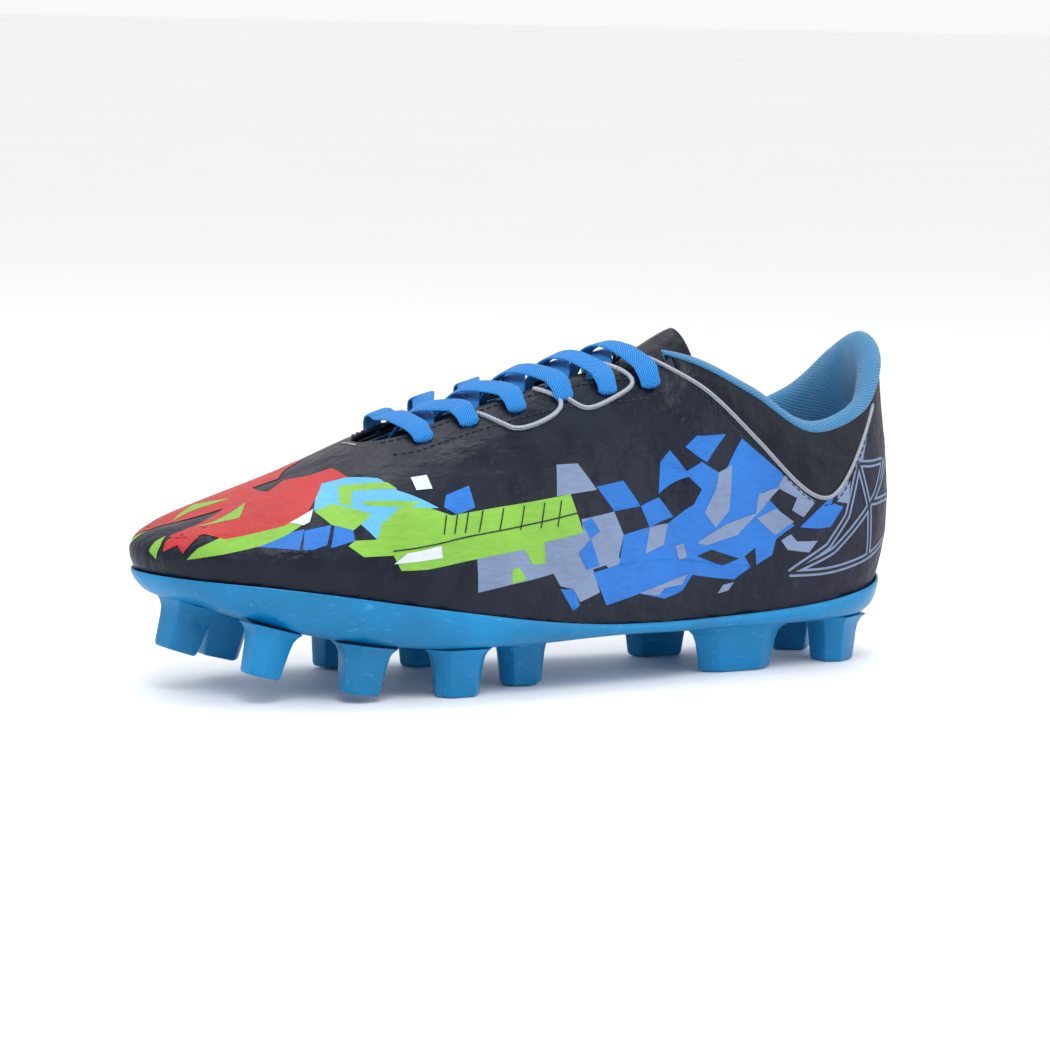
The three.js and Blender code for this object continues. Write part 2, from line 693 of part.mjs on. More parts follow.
// Over the eyestay's edge, into the eyelet, and back out below the edge.
function throughEyelet(side, row) {
  const { k, v } = eyelets(side)[row];
  const reach = (share) => v + (share * EYELET_INSET) / ribCurve(k).getLength();
  return [
    lacePoint(k, reach(1.3), -0.9),
    lacePoint(k, reach(0.9), -1.3),
    lacePoint(k, reach(0.4), -1.25, { half: 2.8, thick: 0.7 }),
    lacePoint(k, reach(0.02), -0.3, PUNCHED),
    lacePoint(k, reach(0), 2.4, PUNCHED),
    lacePoint(k, reach(0.05), 4.9, { half: 1.9, thick: 0.7 }),
    lacePoint(k, reach(0.6), 5.8, { half: 2.6, thick: 0.5 }),
    lacePoint(k, reach(1.3), 5.9, { half: 2.9, thick: 0.6 }),
  ];
}

// From under one edge across the tongue towards the other; the strand from the lateral eyelet stays below.
function crossing(side, row) {
  const from = EYELET_STATIONS[row];
  const to = EYELET_STATIONS[row + 1];
  const depths = side < 0 ? [4.2, 3.7, 3] : [1.9, 1.1, 0.7];
  return [-5.5, 0, 5.5].map((y, i) => openPoint(lerp(from, to, 0.3 + 0.2 * i), -side * y, depths[i]));
}

// One half of the lace, from the bottom bar up to its tucked end.
function laceHalf(startSide) {
  const points = [];
  let side = startSide;
  EYELET_STATIONS.forEach((_, row) => {
    points.push(...throughEyelet(side, row));
    if (row + 1 < EYELET_STATIONS.length) points.push(...crossing(side, row));
    side = -side;
  });
  return points.slice(0, -2);
}

// A ribbon of six-sided section along a smooth route through the given points.
function ribbon(points, stepsBetween = 1) {
  const path = new THREE.CatmullRomCurve3(points.map((p) => p.at), false, "centripetal");
  const count = (points.length - 1) * stepsBetween;
  const rings = steps(0, 1, count).map((t) => {
    const place = t * (points.length - 1);
    const i = Math.min(Math.floor(place), points.length - 2);
    const share = place - i;
    const [a, b] = [points[i], points[i + 1]];
    const tangent = path.getTangent(t);
    const up = a.up.clone().lerp(b.up, share);
    const across = new THREE.Vector3().crossVectors(tangent, up);
    if (across.length() < 0.35) across.add(new THREE.Vector3(1, 0, 0));
    across.normalize();
    const normal = new THREE.Vector3().crossVectors(across, tangent).normalize();
    const half = lerp(a.half, b.half, share);
    const thick = lerp(a.thick, b.thick, share);
    return { centre: path.getPoint(t), across, normal, half, thick };
  });
  for (let i = 1; i < rings.length; i++) {
    if (rings[i].across.dot(rings[i - 1].across) < 0) {
      rings[i].across.negate();
      rings[i].normal.negate();
    }
  }
  const section = [[-1, 0], [-0.8, -1], [0.8, -1], [1, 0], [0.8, 1], [-0.8, 1]];
  const loops = rings.map(({ centre, across, normal, half, thick }) =>
    section.map(([a, b]) =>
      centre.clone().addScaledVector(across, a * half).addScaledVector(normal, b * thick),
    ),
  );
  return sweep(loops);
}

function lace() {
  const bar = [-8, 0, 8].map((y) => openPoint(EYELET_STATIONS[0] + 0.5, y, -1.3));
  const points = [...laceHalf(-1).reverse(), ...bar, ...laceHalf(1)];
  return ribbon(points);
}

// ---- assembly -----------------------------------------------------------------------------------

const finishes = {
  outsole: { color: 0x2a8fca, roughness: 0.35 },
  synthetic: { color: 0x1f2536, roughness: 0.5 },
  padded: { color: 0x22273a, roughness: 0.45 },
  mesh: { color: 0x2f8fc0, roughness: 0.9 },
  textile: { color: 0x24304a, roughness: 0.95 },
  foam: { color: 0xd8d4c8, roughness: 1 },
  board: { color: 0xb9ab8c, roughness: 0.9 },
  stiffener: { color: 0xe6e2d6, roughness: 0.8 },
  lace: { color: 0x2a7fe0, roughness: 0.8 },
  sockLiner: { color: 0x1d5fa8, roughness: 0.95 },
};

const cleat = new THREE.Group();
cleat.name = "soccer_cleat";

function addPart(name, solid, finish) {
  const material = new THREE.MeshStandardMaterial({ metalness: 0, ...finishes[finish] });
  const mesh = new THREE.Mesh(toGeometry(solid), material);
  mesh.name = name;
  cleat.add(mesh);
}

const SIDES = { lateral: -1, medial: 1 };

addPart("outsole_forefoot", outsole.intersect(frontRoom), "outsole");
addPart("outsole_rearfoot", outsole.intersect(rearRoom), "outsole");
addPart("insole_board_forefoot", board.intersect(frontRoom), "board");
addPart("insole_board_rearfoot", board.intersect(rearRoom), "board");
addPart("sock_liner_forefoot", sockLiner.intersect(frontRoom), "sockLiner");
addPart("sock_liner_rearfoot", sockLiner.intersect(rearRoom), "sockLiner");
addPart("vamp", vampOuter.intersect(frontRoom), "synthetic");
addPart("vamp_crease", vampOuter.intersect(creaseRoom), "synthetic");
addPart("vamp_lining", vampInner.intersect(frontRoom), "textile");
addPart("vamp_lining_crease", vampInner.intersect(creaseRoom), "textile");
addPart("toe_puff", toePuff, "stiffener");
addPart("heel_counter", heelCounter, "stiffener");
addPart("collar_foam", collarFoam, "foam");
addPart("collar_lining", collarLining, "mesh");
for (const [name, side] of Object.entries(SIDES)) {
  addPart(`quarter_${name}`, quarter(side), "synthetic");
  addPart(`collar_panel_${name}`, collarPanel(side), "padded");
  addPart(`eyestay_${name}`, eyestay(side), "stiffener");
  addPart(`quarter_lining_${name}`, quarterLining(side), "textile");
}
addPart("tongue_face", tonguePiece(TONGUE.face), "padded");
addPart("tongue_foam", tonguePiece(TONGUE.foam, TONGUE_COLUMNS.slice(1, -1)), "foam");
addPart("tongue_lining", tonguePiece(TONGUE.lining), "mesh");
addPart("lace", lace(), "lace");

export default cleat;
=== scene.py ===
import math

import bmesh
import bpy
import numpy as np
from mathutils import Matrix, Vector
from mathutils.bvhtree import BVHTree
from mathutils.geometry import tessellate_polygon


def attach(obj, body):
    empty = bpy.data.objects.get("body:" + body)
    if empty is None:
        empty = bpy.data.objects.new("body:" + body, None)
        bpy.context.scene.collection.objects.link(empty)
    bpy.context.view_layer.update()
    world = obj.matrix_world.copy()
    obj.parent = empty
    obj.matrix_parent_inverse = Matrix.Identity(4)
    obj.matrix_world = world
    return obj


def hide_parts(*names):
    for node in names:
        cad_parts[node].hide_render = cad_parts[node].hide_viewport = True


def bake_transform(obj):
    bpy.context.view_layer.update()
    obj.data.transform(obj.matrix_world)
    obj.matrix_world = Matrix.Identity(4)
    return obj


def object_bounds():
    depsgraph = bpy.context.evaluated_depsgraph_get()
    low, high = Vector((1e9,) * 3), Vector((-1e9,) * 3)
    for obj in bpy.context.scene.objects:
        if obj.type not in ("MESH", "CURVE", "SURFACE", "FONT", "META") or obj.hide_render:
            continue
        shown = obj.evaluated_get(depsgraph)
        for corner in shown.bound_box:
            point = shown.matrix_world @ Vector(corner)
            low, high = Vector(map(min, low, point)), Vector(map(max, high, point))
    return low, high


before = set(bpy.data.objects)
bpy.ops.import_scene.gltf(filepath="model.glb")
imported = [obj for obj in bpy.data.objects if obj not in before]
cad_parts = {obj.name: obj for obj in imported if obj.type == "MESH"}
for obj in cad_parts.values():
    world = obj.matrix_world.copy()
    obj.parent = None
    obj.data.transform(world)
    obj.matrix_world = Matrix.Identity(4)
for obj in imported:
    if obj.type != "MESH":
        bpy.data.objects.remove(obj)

cad_low, cad_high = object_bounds()

MM = 0.001
LENGTH = 283 * MM  # heel to toe along the feather line
STUD_HEIGHT = 16 * MM
TOE_SPRING = 20 * MM
SPRING_START = 182 * MM
PLATE = 3 * MM
UPPER_THICKNESS = 1.6 * MM
LINING_DEPTH = 3.7 * MM
RIM = 2.6 * MM  # the padded panels stop this far below the collar's edge
TONGUE_TOP = 6.9 * MM
TONGUE_BOTTOM = 12.8 * MM
TONGUE_FREE = 28 * MM
TONGUE_HALF_WIDTH = (21 * MM, 26 * MM)
TONGUE_RIBS = (4.85, 9)
TONGUE_SEWN_X = -0.045  # the tongue is held in front of this
EYELET_STATIONS = [190 * MM, 173 * MM, 155 * MM, 137 * MM, 120 * MM, 103 * MM]
EYELET_INSET = 6.5 * MM
EYELET_RADIUS = 2.4 * MM
MAIN_BODY = "shoe_body"


# ---- camera ----------------------------------------------------------------------------------

def make_camera():
    """The camera stands at the photograph's angle: low, and turned towards the toe."""
    azimuth = math.radians(-28.5)
    elevation = math.radians(7.3)
    roll_angle = math.radians(1.2)
    distance = 1.5
    look_height = 0.052
    middle = (cad_low + cad_high) / 2
    middle.z = look_height
    back = Vector((
        math.sin(azimuth) * math.cos(elevation),
        -math.cos(azimuth) * math.cos(elevation),
        math.sin(elevation),
    ))
    camera = bpy.data.objects.new("camera", bpy.data.cameras.new("camera"))
    bpy.context.scene.collection.objects.link(camera)
    camera.location = middle + distance * back
    roll = Matrix.Rotation(roll_angle, 3, "Z")
    camera.rotation_euler = (back.to_track_quat("Z", "Y").to_matrix() @ roll).to_euler()
    camera.data.sensor_width = 36
    camera.data.lens = 148
    camera.data.clip_start = 0.05
    camera.data.clip_end = 20
    bpy.context.scene.camera = camera


make_camera()


# ---- the last --------------------------------------------------------------------------------

# Ribs of the last from the toe (0) to the middle of the heel (15), in millimetres and degrees: foot
# station, half widths lateral and medial, height | top station, half width, height | heading, flare,
# lean | handle lengths as shares of the rib's reach.
RIBS = [
    (283, -5, 5, 42, 261, 0, 60, 0, 30, 0, 0.5, 0.5),
    (279, 10, 18, 41.8, 258, 0, 61, 28, 28, 0, 0.5, 0.5),
    (269.5, 24, 29, 41.4, 251, 0, 64, 54, 24, 0, 0.48, 0.5),
    (253.5, 35.5, 38, 40.2, 241, 0, 68.3, 72, 20, 0, 0.45, 0.48),
    (232, 43, 44, 37.4, 225, 0, 75, 83, 17, 0, 0.42, 0.45),
    (207, 46.8, 46.3, 33.4, 207, 0, 83.3, 90, 14, 0, 0.4, 0.42),
    (186, 47.5, 43.5, 30, 188, 0, 90.5, 90, 12, 0, 0.4, 0.38),
    (159, 46, 37, 25.8, 162, 0, 100, 90, 10, 0, 0.38, 0.31),
    (131, 42, 31.5, 22.6, 135, 0, 108, 90, 8, 0, 0.38, 0.27),
    (103, 37.5, 28.5, 21.4, 107, 0, 113.5, 90, 6, 0, 0.38, 0.25),
    (80, 34.3, 28.3, 21.5, 88, 20.5, 110.5, 90, 5, 60, 0.38, 0.3),
    (56, 32.7, 29.3, 22.4, 66, 27, 99.5, 90, 6, 80, 0.36, 0.33),
    (34, 31, 29.5, 24.4, 43, 30, 86, 97, 9, 86, 0.36, 0.34),
    (15.5, 25.5, 25, 27.3, 19, 26.5, 92.5, 122, 14, 88, 0.36, 0.35),
    (4, 14, 14, 29.6, 5.5, 15, 107.5, 152, 17, 88, 0.36, 0.35),
    (0, 0, 0, 30.3, 1.5, 0, 114.5, 180, 18, 86, 0.36, 0.35),
]
HEEL = len(RIBS) - 1
RING = 2 * HEEL
LAST_RIDGE_RIB = 9
FLEX_RIB = 5
PANEL_START = 9.75
PANEL_END = 13.5
COLLAR_START = 9.95
LINING_DROP = 36 * MM


def station_x(s):
    return LENGTH / 2 - s


def ring_row(i):
    """Numbers of one rib of the whole ring: medial ribs first, then the lateral ones back to the toe."""
    side = 1 if i <= HEEL else -1
    rib = RIBS[i if side > 0 else RING - i]
    s, lateral, medial, z, top_s, top_half, top_z = rib[:7]
    heading, flare, lean, foot_share, top_share = rib[7:]
    turn = math.radians(heading)
    return (
        station_x(s * MM), (medial if side > 0 else -lateral) * MM, z * MM,
        station_x(top_s * MM), side * top_half * MM, top_z * MM,
        -math.cos(turn), side * math.sin(turn),
        math.radians(flare), math.radians(lean), foot_share, top_share,
    )


RING_ROWS = np.array([ring_row(i) for i in range(RING)])


def spline(points, t):
    a, b, c, d = points
    return b + 0.5 * t * (c - a + t * (2 * a - 5 * b + 4 * c - d + t * (3 * (b - c) + d - a)))


def rib_index(k):
    """Distance of ring coordinates from the toe, 0 to 15, whichever side they are on."""
    turned = np.mod(k, RING)
    return np.minimum(turned, RING - turned)


def rib_curves(k):
    """Control points of the cubic Bezier ribs at ring coordinates k, as four arrays."""
    whole = np.floor(k).astype(int)
    t = (k - whole)[:, None]
    near = [RING_ROWS[(whole + step) % RING] for step in (-1, 0, 1, 2)]
    mixed = spline(near, t)
    foot, top = mixed[:, 0:3], mixed[:, 3:6]
    out = np.column_stack([mixed[:, 6:8], np.zeros(len(k))])
    out /= np.linalg.norm(out, axis=1)[:, None]
    reach = np.linalg.norm(top - foot, axis=1)[:, None]
    before = spline([row[:, 3:6] for row in near], np.maximum(t - 0.01, 0))
    after = spline([row[:, 3:6] for row in near], np.minimum(t + 0.01, 1))
    run = after[:, 0] - before[:, 0]
    flat = np.abs(run) < 1e-7
    slope = np.where(flat, 0.3, np.clip((after[:, 2] - before[:, 2]) / np.where(flat, 1, run), -0.6, 0.6))
    slope = (slope * np.clip(LAST_RIDGE_RIB + 1 - rib_index(k), 0, 1))[:, None]
    flare, lean = mixed[:, 8:9], mixed[:, 9:10]
    up = np.array([0, 0, 1.0])
    foot_handle = out * np.sin(flare) + up * np.cos(flare)
    top_handle = out * np.cos(lean)
    top_handle = top_handle + up * (slope * top_handle[:, 0:1] - np.sin(lean))
    near_foot = foot + foot_handle * reach * mixed[:, 10:11]
    near_top = top + top_handle * reach * mixed[:, 11:12]
    return foot, near_foot, near_top, top


def skin(k, v):
    """Points of the outer skin: v is 0 at the feather line and 1 at the rib's top."""
    k, v = (np.array(a, float).ravel() for a in np.broadcast_arrays(k, v))
    a, b, c, d = rib_curves(k)
    v = v[:, None]
    w = 1 - v
    return a * w**3 + 3 * b * w * w * v + 3 * c * w * v * v + d * v**3


def unit(vectors):
    return vectors / np.maximum(np.linalg.norm(vectors, axis=-1, keepdims=True), 1e-12)


def skin_normal(k, v):
    k, v = (np.array(a, float).ravel() for a in np.broadcast_arrays(k, v))
    on_ridge = (rib_index(k) <= FLEX_RIB + 0.01) & (v > 0.99)
    along = skin(k + 0.02, v) - skin(k - 0.02, v)
    rise = skin(k, v + 0.01) - skin(k, v - 0.01)
    normal = unit(np.cross(rise, along))
    rib = rib_index(k)
    ridge = skin(rib + 0.02, 1.0) - skin(np.abs(rib - 0.02), 1.0)
    over = unit(np.column_stack([-ridge[:, 2], np.zeros(len(k)), ridge[:, 0]]))
    over *= np.where(over[:, 2:3] < 0, -1, 1)
    return np.where(on_ridge[:, None], over, normal)


def layered(k, v, depth):
    """Points at a depth below the outer skin; a negative depth is above it."""
    k, v, depth = (np.array(a, float).ravel() for a in np.broadcast_arrays(k, v, depth))
    return skin(k, v) - skin_normal(k, v) * depth[:, None]


def rib_length(k):
    k = np.atleast_1d(np.asarray(k, float))
    points = np.stack([skin(k, np.full(len(k), v)) for v in np.linspace(0, 1, 41)])
    return np.linalg.norm(np.diff(points, axis=0), axis=2).sum(axis=0)


def v_below_top(k, distance):
    return 1 - distance / rib_length(k)


def v_at_half_width(k, half):
    """The v at which each rib reaches a half width from the ridge."""
    k = np.atleast_1d(np.asarray(k, float))
    half = np.broadcast_to(half, k.shape)
    low, high = np.full(len(k), 0.4), np.ones(len(k))
    for _ in range(30):
        middle = (low + high) / 2
        wide = np.abs(skin(k, middle)[:, 1]) > half
        low, high = np.where(wide, middle, low), np.where(wide, high, middle)
    return np.where(np.abs(skin(k, np.ones(len(k)))[:, 1]) >= half, 1.0, low)


def smoothstep(x, low, high):
    t = np.clip((x - low) / (high - low), 0, 1)
    return t * t * (3 - 2 * t)


def throat_half_width(rib):
    """The throat is a rounded U in front, and widens slowly towards the collar."""
    opened = np.clip((rib - FLEX_RIB) / 0.9, 0, 1)
    rounded = 12.5 * MM * np.sqrt(1 - (1 - opened) ** 2)
    return rounded + 1.1 * MM * np.maximum(rib - FLEX_RIB - 0.9, 0)


def throat_v(k):
    return v_at_half_width(k, throat_half_width(rib_index(k)))


def panel_drop(rib):
    """Depth of the padded collar panel below the collar's edge."""
    forward = 9 * MM + 16 * MM * smoothstep(rib, PANEL_START, 12.1)
    behind = 25 * MM + (RIM - 25 * MM) * smoothstep(rib, 12.1, PANEL_END)
    return np.where(rib < 12.1, forward, behind)


def plate_bottom(s):
    spring = np.clip((s - SPRING_START) / (LENGTH - SPRING_START), 0, 1)
    arch = np.exp(-(((s - 122 * MM) / (26 * MM)) ** 2))
    return STUD_HEIGHT + TOE_SPRING * spring * spring + 1.2 * MM * arch


# ---- meshes ----------------------------------------------------------------------------------

def add_object(name, points, faces, material, smooth=True):
    mesh = bpy.data.meshes.new(name)
    mesh.from_pydata([tuple(p) for p in points], [], faces)
    mesh.validate()
    mesh.shade_smooth() if smooth else mesh.shade_flat()
    thing = bpy.data.objects.new(name, mesh)
    bpy.context.scene.collection.objects.link(thing)
    mesh.materials.append(material)
    return thing


def grid_faces(columns, rows, closed_rows=False, closed_columns=False):
    """Quads of a grid stored column by column."""
    faces = []
    for i in range(columns if closed_columns else columns - 1):
        for j in range(rows if closed_rows else rows - 1):
            a, b = i * rows + j, i * rows + (j + 1) % rows
            c, d = ((i + 1) % columns) * rows + (j + 1) % rows, ((i + 1) % columns) * rows + j
            faces.append((a, b, c, d))
    return faces


def end_caps(columns, rows):
    """The two faces that close the ends of a tube-like grid."""
    count = columns * rows
    return [tuple(range(rows)), tuple(range(count - 1, count - 1 - rows, -1))]


def set_uv(thing, uvs):
    """Gives each vertex one texture coordinate, in metres along the surface."""
    layer = thing.data.uv_layers.new(name="surface")
    loops = np.zeros(len(thing.data.loops), int)
    thing.data.loops.foreach_get("vertex_index", loops)
    layer.data.foreach_set("uv", np.asarray(uvs, float)[loops].ravel())


def set_grid_uv(thing, along, across):
    """Texture coordinates of a grid: a length along it per column, and lengths across each column."""
    lengths = np.broadcast_to(along[:, None], across.shape)
    set_uv(thing, np.stack([lengths, across], axis=2).reshape(-1, 2))


def apply_modifiers(thing):
    graph = bpy.context.evaluated_depsgraph_get()
    mesh = bpy.data.meshes.new_from_object(thing.evaluated_get(graph), depsgraph=graph)
    thing.modifiers.clear()
    thing.data = mesh


def subdivide(thing):
    """Rounds a mesh with one level of subdivision."""
    smoothing = thing.modifiers.new("smoothing", "SUBSURF")
    smoothing.levels = smoothing.render_levels = 1
    apply_modifiers(thing)


def clean(thing, distance=0.02 * MM):
    """Merges doubled points and turns every face outwards."""
    work = bmesh.new()
    work.from_mesh(thing.data)
    bmesh.ops.remove_doubles(work, verts=work.verts, dist=distance)
    bmesh.ops.recalc_face_normals(work, faces=work.faces)
    work.to_mesh(thing.data)
    work.free()


def arc_lengths(points):
    steps = np.linalg.norm(np.diff(points, axis=0), axis=1)
    return np.concatenate([[0], np.cumsum(steps)])


def tube(name, points, radius, material, sides=10, tip=0.6):
    """A round cord along points, with closed ends narrowed to a share of its radius, and lengths as UV."""
    points = np.asarray(points, float)
    tangent = unit(np.gradient(points, axis=0))
    side = unit(np.cross(tangent, [0.13, 0.21, 0.97]))
    lift = np.cross(side, tangent)
    turns = np.linspace(0, 2 * math.pi, sides, endpoint=False)
    wide = np.full((len(points), 1, 1), radius)
    wide[0] = wide[-1] = radius * tip
    ring = np.cos(turns)[None, :, None] * side[:, None] + np.sin(turns)[None, :, None] * lift[:, None]
    body = (points[:, None] + wide * ring).reshape(-1, 3)
    faces = grid_faces(len(points), sides, closed_rows=True) + end_caps(len(points), sides)
    thing = add_object(name, body, faces, material)
    set_uv(thing, [(along, turn * radius) for along in arc_lengths(points) for turn in turns])
    return thing


def join(name, things):
    """Joins meshes into one object with that name."""
    with bpy.context.temp_override(active_object=things[0], selected_editable_objects=things):
        bpy.ops.object.join()
    things[0].name = name
    return things[0]


def dress(thing, slot, *nodes, body=None, bends=False):
    """Tells the frame which body a piece follows and which CAD nodes it stands for; the slot argument is not
    used.
    """
    if bends:
        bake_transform(thing)
    else:
        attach(thing, body or MAIN_BODY)
    if nodes:
        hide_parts(*nodes)


# ---- materials -------------------------------------------------------------------------------

class Paint:
    """A material's node tree, built one node at a time."""

    def __init__(self, name):
        self.material = bpy.data.materials.new(name)
        self.material.use_nodes = True
        self.tree = self.material.node_tree
        self.shader = self.tree.nodes["Principled BSDF"]

    def add(self, kind, **values):
        node = self.tree.nodes.new("ShaderNode" + kind)
        for name, value in values.items():
            if name in ("operation", "feature", "data_type"):
                setattr(node, name, value)
            else:
                self.set(node.inputs[name.title()], value)
        return node

    def set(self, socket, value):
        if isinstance(value, bpy.types.NodeSocket):
            self.tree.links.new(value, socket)
        else:
            socket.default_value = value

    def shade(self, **values):
        for name, value in values.items():
            self.set(self.shader.inputs[name.replace("_", " ").title().replace("Ior", "IOR")], value)

    def place(self, surface):
        """Texture coordinates: lengths along the surface, or the object's own coordinates."""
        return self.add("TexCoord").outputs["UV" if surface else "Object"]

    def math(self, operation, a, b=0.0):
        node = self.add("Math", operation=operation)
        self.set(node.inputs[0], a)
        self.set(node.inputs[1], b)
        return node.outputs[0]

    def noise(self, where, size, detail=4.0, stretch=None):
        """Noise from 0 to 1 whose features are about size metres."""
        if stretch:
            where = self.add("Mapping", vector=where, scale=stretch).outputs[0]
        node = self.add("TexNoise", vector=where, detail=detail)
        node.inputs["Scale"].default_value = 1 / size
        return node.outputs["Fac"]

    def mix(self, share, a, b):
        node = self.add("Mix", data_type="RGBA")
        self.set(node.inputs["Factor"], share)
        self.set(node.inputs[6], a)
        self.set(node.inputs[7], b)
        return node.outputs[2]

    def ramp(self, value, low, high, start=0.0, end=1.0):
        node = self.add("MapRange")
        self.set(node.inputs["Value"], value)
        for socket, number in zip(("From Min", "From Max", "To Min", "To Max"), (low, high, start, end)):
            node.inputs[socket].default_value = number
        return node.outputs[0]

    def bump(self, height, depth, under=None):
        """A bump whose full height is depth metres, over another bump if one is given."""
        node = self.add("Bump", height=height)
        node.inputs["Strength"].default_value = 1.0
        node.inputs["Distance"].default_value = depth
        if under is not None:
            self.set(node.inputs["Normal"], under)
        return node.outputs[0]


def colour(red, green, blue):
    """A colour from its 8-bit screen values."""
    def linear(value):
        share = value / 255
        return share / 12.92 if share <= 0.04045 else ((share + 0.055) / 1.055) ** 2.4
    return (linear(red), linear(green), linear(blue), 1.0)


def toned(base, scale, lift=0.0):
    """A colour with each channel scaled, and lifted a little."""
    return tuple(min(1.0, scale * channel + lift) for channel in base[:3]) + (1.0,)


NAVY = colour(5, 15, 32)
HEEL_BLACK = colour(18, 20, 38)
AZURE = colour(24, 104, 188)
SKY = colour(84, 166, 216)
LAVENDER = colour(112, 130, 162)
LIME = colour(120, 174, 60)
RED = colour(176, 36, 38)
WHITE = colour(196, 204, 214)
SILVER = colour(176, 184, 198)
OUTSOLE_BLUE = colour(2, 126, 182)
LACE_BLUE = colour(8, 138, 228)
COLLAR_BLUE = colour(16, 122, 180)


def hide_grain(paint, where):
    """The fine grain, soft dents and long creases of a thin synthetic leather, as one bump."""
    pores = paint.add("TexVoronoi", vector=where, feature="DISTANCE_TO_EDGE")
    pores.inputs["Scale"].default_value = 1 / (0.9 * MM)
    dents = paint.noise(where, 9 * MM, detail=3.0)
    creases = paint.noise(where, 5 * MM, detail=5.0, stretch=(0.5, 1.3, 1.6))
    grain = paint.bump(pores.outputs["Distance"], 0.06 * MM)
    soft = paint.bump(dents, 1.5 * MM, grain)
    return paint.bump(creases, 0.6 * MM, soft)


def make_synthetic(name, base, rough=0.38):
    """Coated synthetic leather: dark film with dusty, slightly worn highlights."""
    paint = Paint(name)
    where = paint.place(surface=False)
    dust = paint.ramp(paint.noise(where, 14 * MM, detail=8.0), 0.42, 0.72)
    scuff = paint.ramp(paint.noise(where, 2.2 * MM, detail=6.0, stretch=(0.4, 1, 1.8)), 0.6, 0.75)
    lighter = toned(base, 2.1, 0.012)
    worn = paint.mix(paint.math("MULTIPLY", dust, 0.35), base, lighter)
    paint.shade(
        base_color=paint.mix(paint.math("MULTIPLY", scuff, 0.12), worn, lighter),
        roughness=paint.ramp(dust, 0, 1, rough - 0.06, rough + 0.14),
        specular_ior_level=0.22,
        normal=hide_grain(paint, where),
    )
    return paint.material


def make_print(name, ink):
    """Screen-printed ink over the synthetic: satin, with the grain showing and faint brushing."""
    paint = Paint(name)
    where = paint.place(surface=False)
    brushed = paint.ramp(paint.noise(where, 1.6 * MM, detail=5.0, stretch=(0.35, 1, 1.6)), 0.35, 0.75)
    patchy = paint.ramp(paint.noise(where, 20 * MM, detail=3.0), 0.35, 0.7)
    pale = toned(ink, 1.25, 0.02)
    deep = toned(ink, 0.82)
    base = paint.mix(patchy, deep, ink)
    paint.shade(
        base_color=paint.mix(paint.math("MULTIPLY", brushed, 0.35), base, pale),
        roughness=paint.ramp(brushed, 0, 1, 0.42, 0.6),
        specular_ior_level=0.3,
        normal=hide_grain(paint, where),
    )
    return paint.material


def make_heel_cloth():
    """The heel's brushed purplish black synthetic, with a painted sheen: its colour lightens towards a pale
    purple along the brushing.
    """
    paint = Paint("heel_synthetic")
    where = paint.place(surface=False)
    brushing = paint.noise(where, 1.2 * MM, detail=6.0, stretch=(1.6, 1, 0.3))
    clouds = paint.ramp(paint.noise(where, 12 * MM, detail=5.0), 0.35, 0.7)
    # painted sheen: streaks of the brushing, in clouds, lighten the colour towards a pale purple
    painted_sheen = paint.math("MULTIPLY", paint.ramp(brushing, 0.4, 0.75), clouds)
    paint.shade(
        base_color=paint.mix(paint.math("MULTIPLY", painted_sheen, 0.4), HEEL_BLACK, colour(70, 72, 100)),
        roughness=paint.ramp(brushing, 0.3, 0.7, 0.4, 0.6),
        specular_ior_level=0.22,
        normal=hide_grain(paint, where),
    )
    return paint.material


def make_knit(name, base, pitch=1.5 * MM):
    """Spacer mesh: rows of small lens-shaped loops with dark holes between them, in surface coordinates."""
    paint = Paint(name)
    where = paint.place(surface=True)
    split = paint.add("SeparateXYZ", vector=where)
    across = paint.math("MULTIPLY", split.outputs[0], 2 * math.pi / pitch)
    along = paint.math("MULTIPLY", split.outputs[1], 2 * math.pi / (0.8 * pitch))
    loops = paint.math("MULTIPLY", paint.math("SINE", across), paint.math("SINE", along))
    holes = paint.ramp(loops, -0.2, 0.7)
    fuzz = paint.noise(where, 0.35 * MM, detail=3.0)
    dark = toned(base, 0.35)
    tone = paint.mix(holes, base, dark)
    paint.shade(
        base_color=paint.mix(paint.math("MULTIPLY", fuzz, 0.25), tone, colour(120, 190, 226)),
        roughness=paint.ramp(fuzz, 0.3, 0.7, 0.75, 0.95),
        sheen_weight=0.35,
        sheen_roughness=0.4,
        normal=paint.bump(fuzz, 0.08 * MM, paint.bump(paint.math("SUBTRACT", 1.0, holes), 0.35 * MM)),
    )
    return paint.material


def make_weave(name, base, pitch=1.1 * MM, slant=1.0):
    """A flat woven tape: slanted ribs crossed by fine picks, in surface coordinates."""
    paint = Paint(name)
    where = paint.place(surface=True)
    split = paint.add("SeparateXYZ", vector=where)
    length, width = split.outputs[0], split.outputs[1]
    slanted = paint.math("ADD", length, paint.math("MULTIPLY", width, slant))
    ribs = paint.math("SINE", paint.math("MULTIPLY", slanted, 2 * math.pi / pitch))
    picks = paint.math("SINE", paint.math("MULTIPLY", width, 2 * math.pi / (0.75 * pitch)))
    threads = paint.ramp(paint.math("ADD", ribs, paint.math("MULTIPLY", picks, 0.45)), -1.3, 1.2)
    fuzz = paint.noise(where, 0.3 * MM, detail=3.0)
    dark = toned(base, 0.42)
    pale = toned(base, 1.3, 0.02)
    paint.shade(
        base_color=paint.mix(threads, dark, paint.mix(fuzz, base, pale)),
        roughness=paint.ramp(fuzz, 0.3, 0.7, 0.6, 0.85),
        specular_ior_level=0.3,
        sheen_weight=0.1,
        normal=paint.bump(fuzz, 0.06 * MM, paint.bump(threads, 0.4 * MM)),
    )
    return paint.material


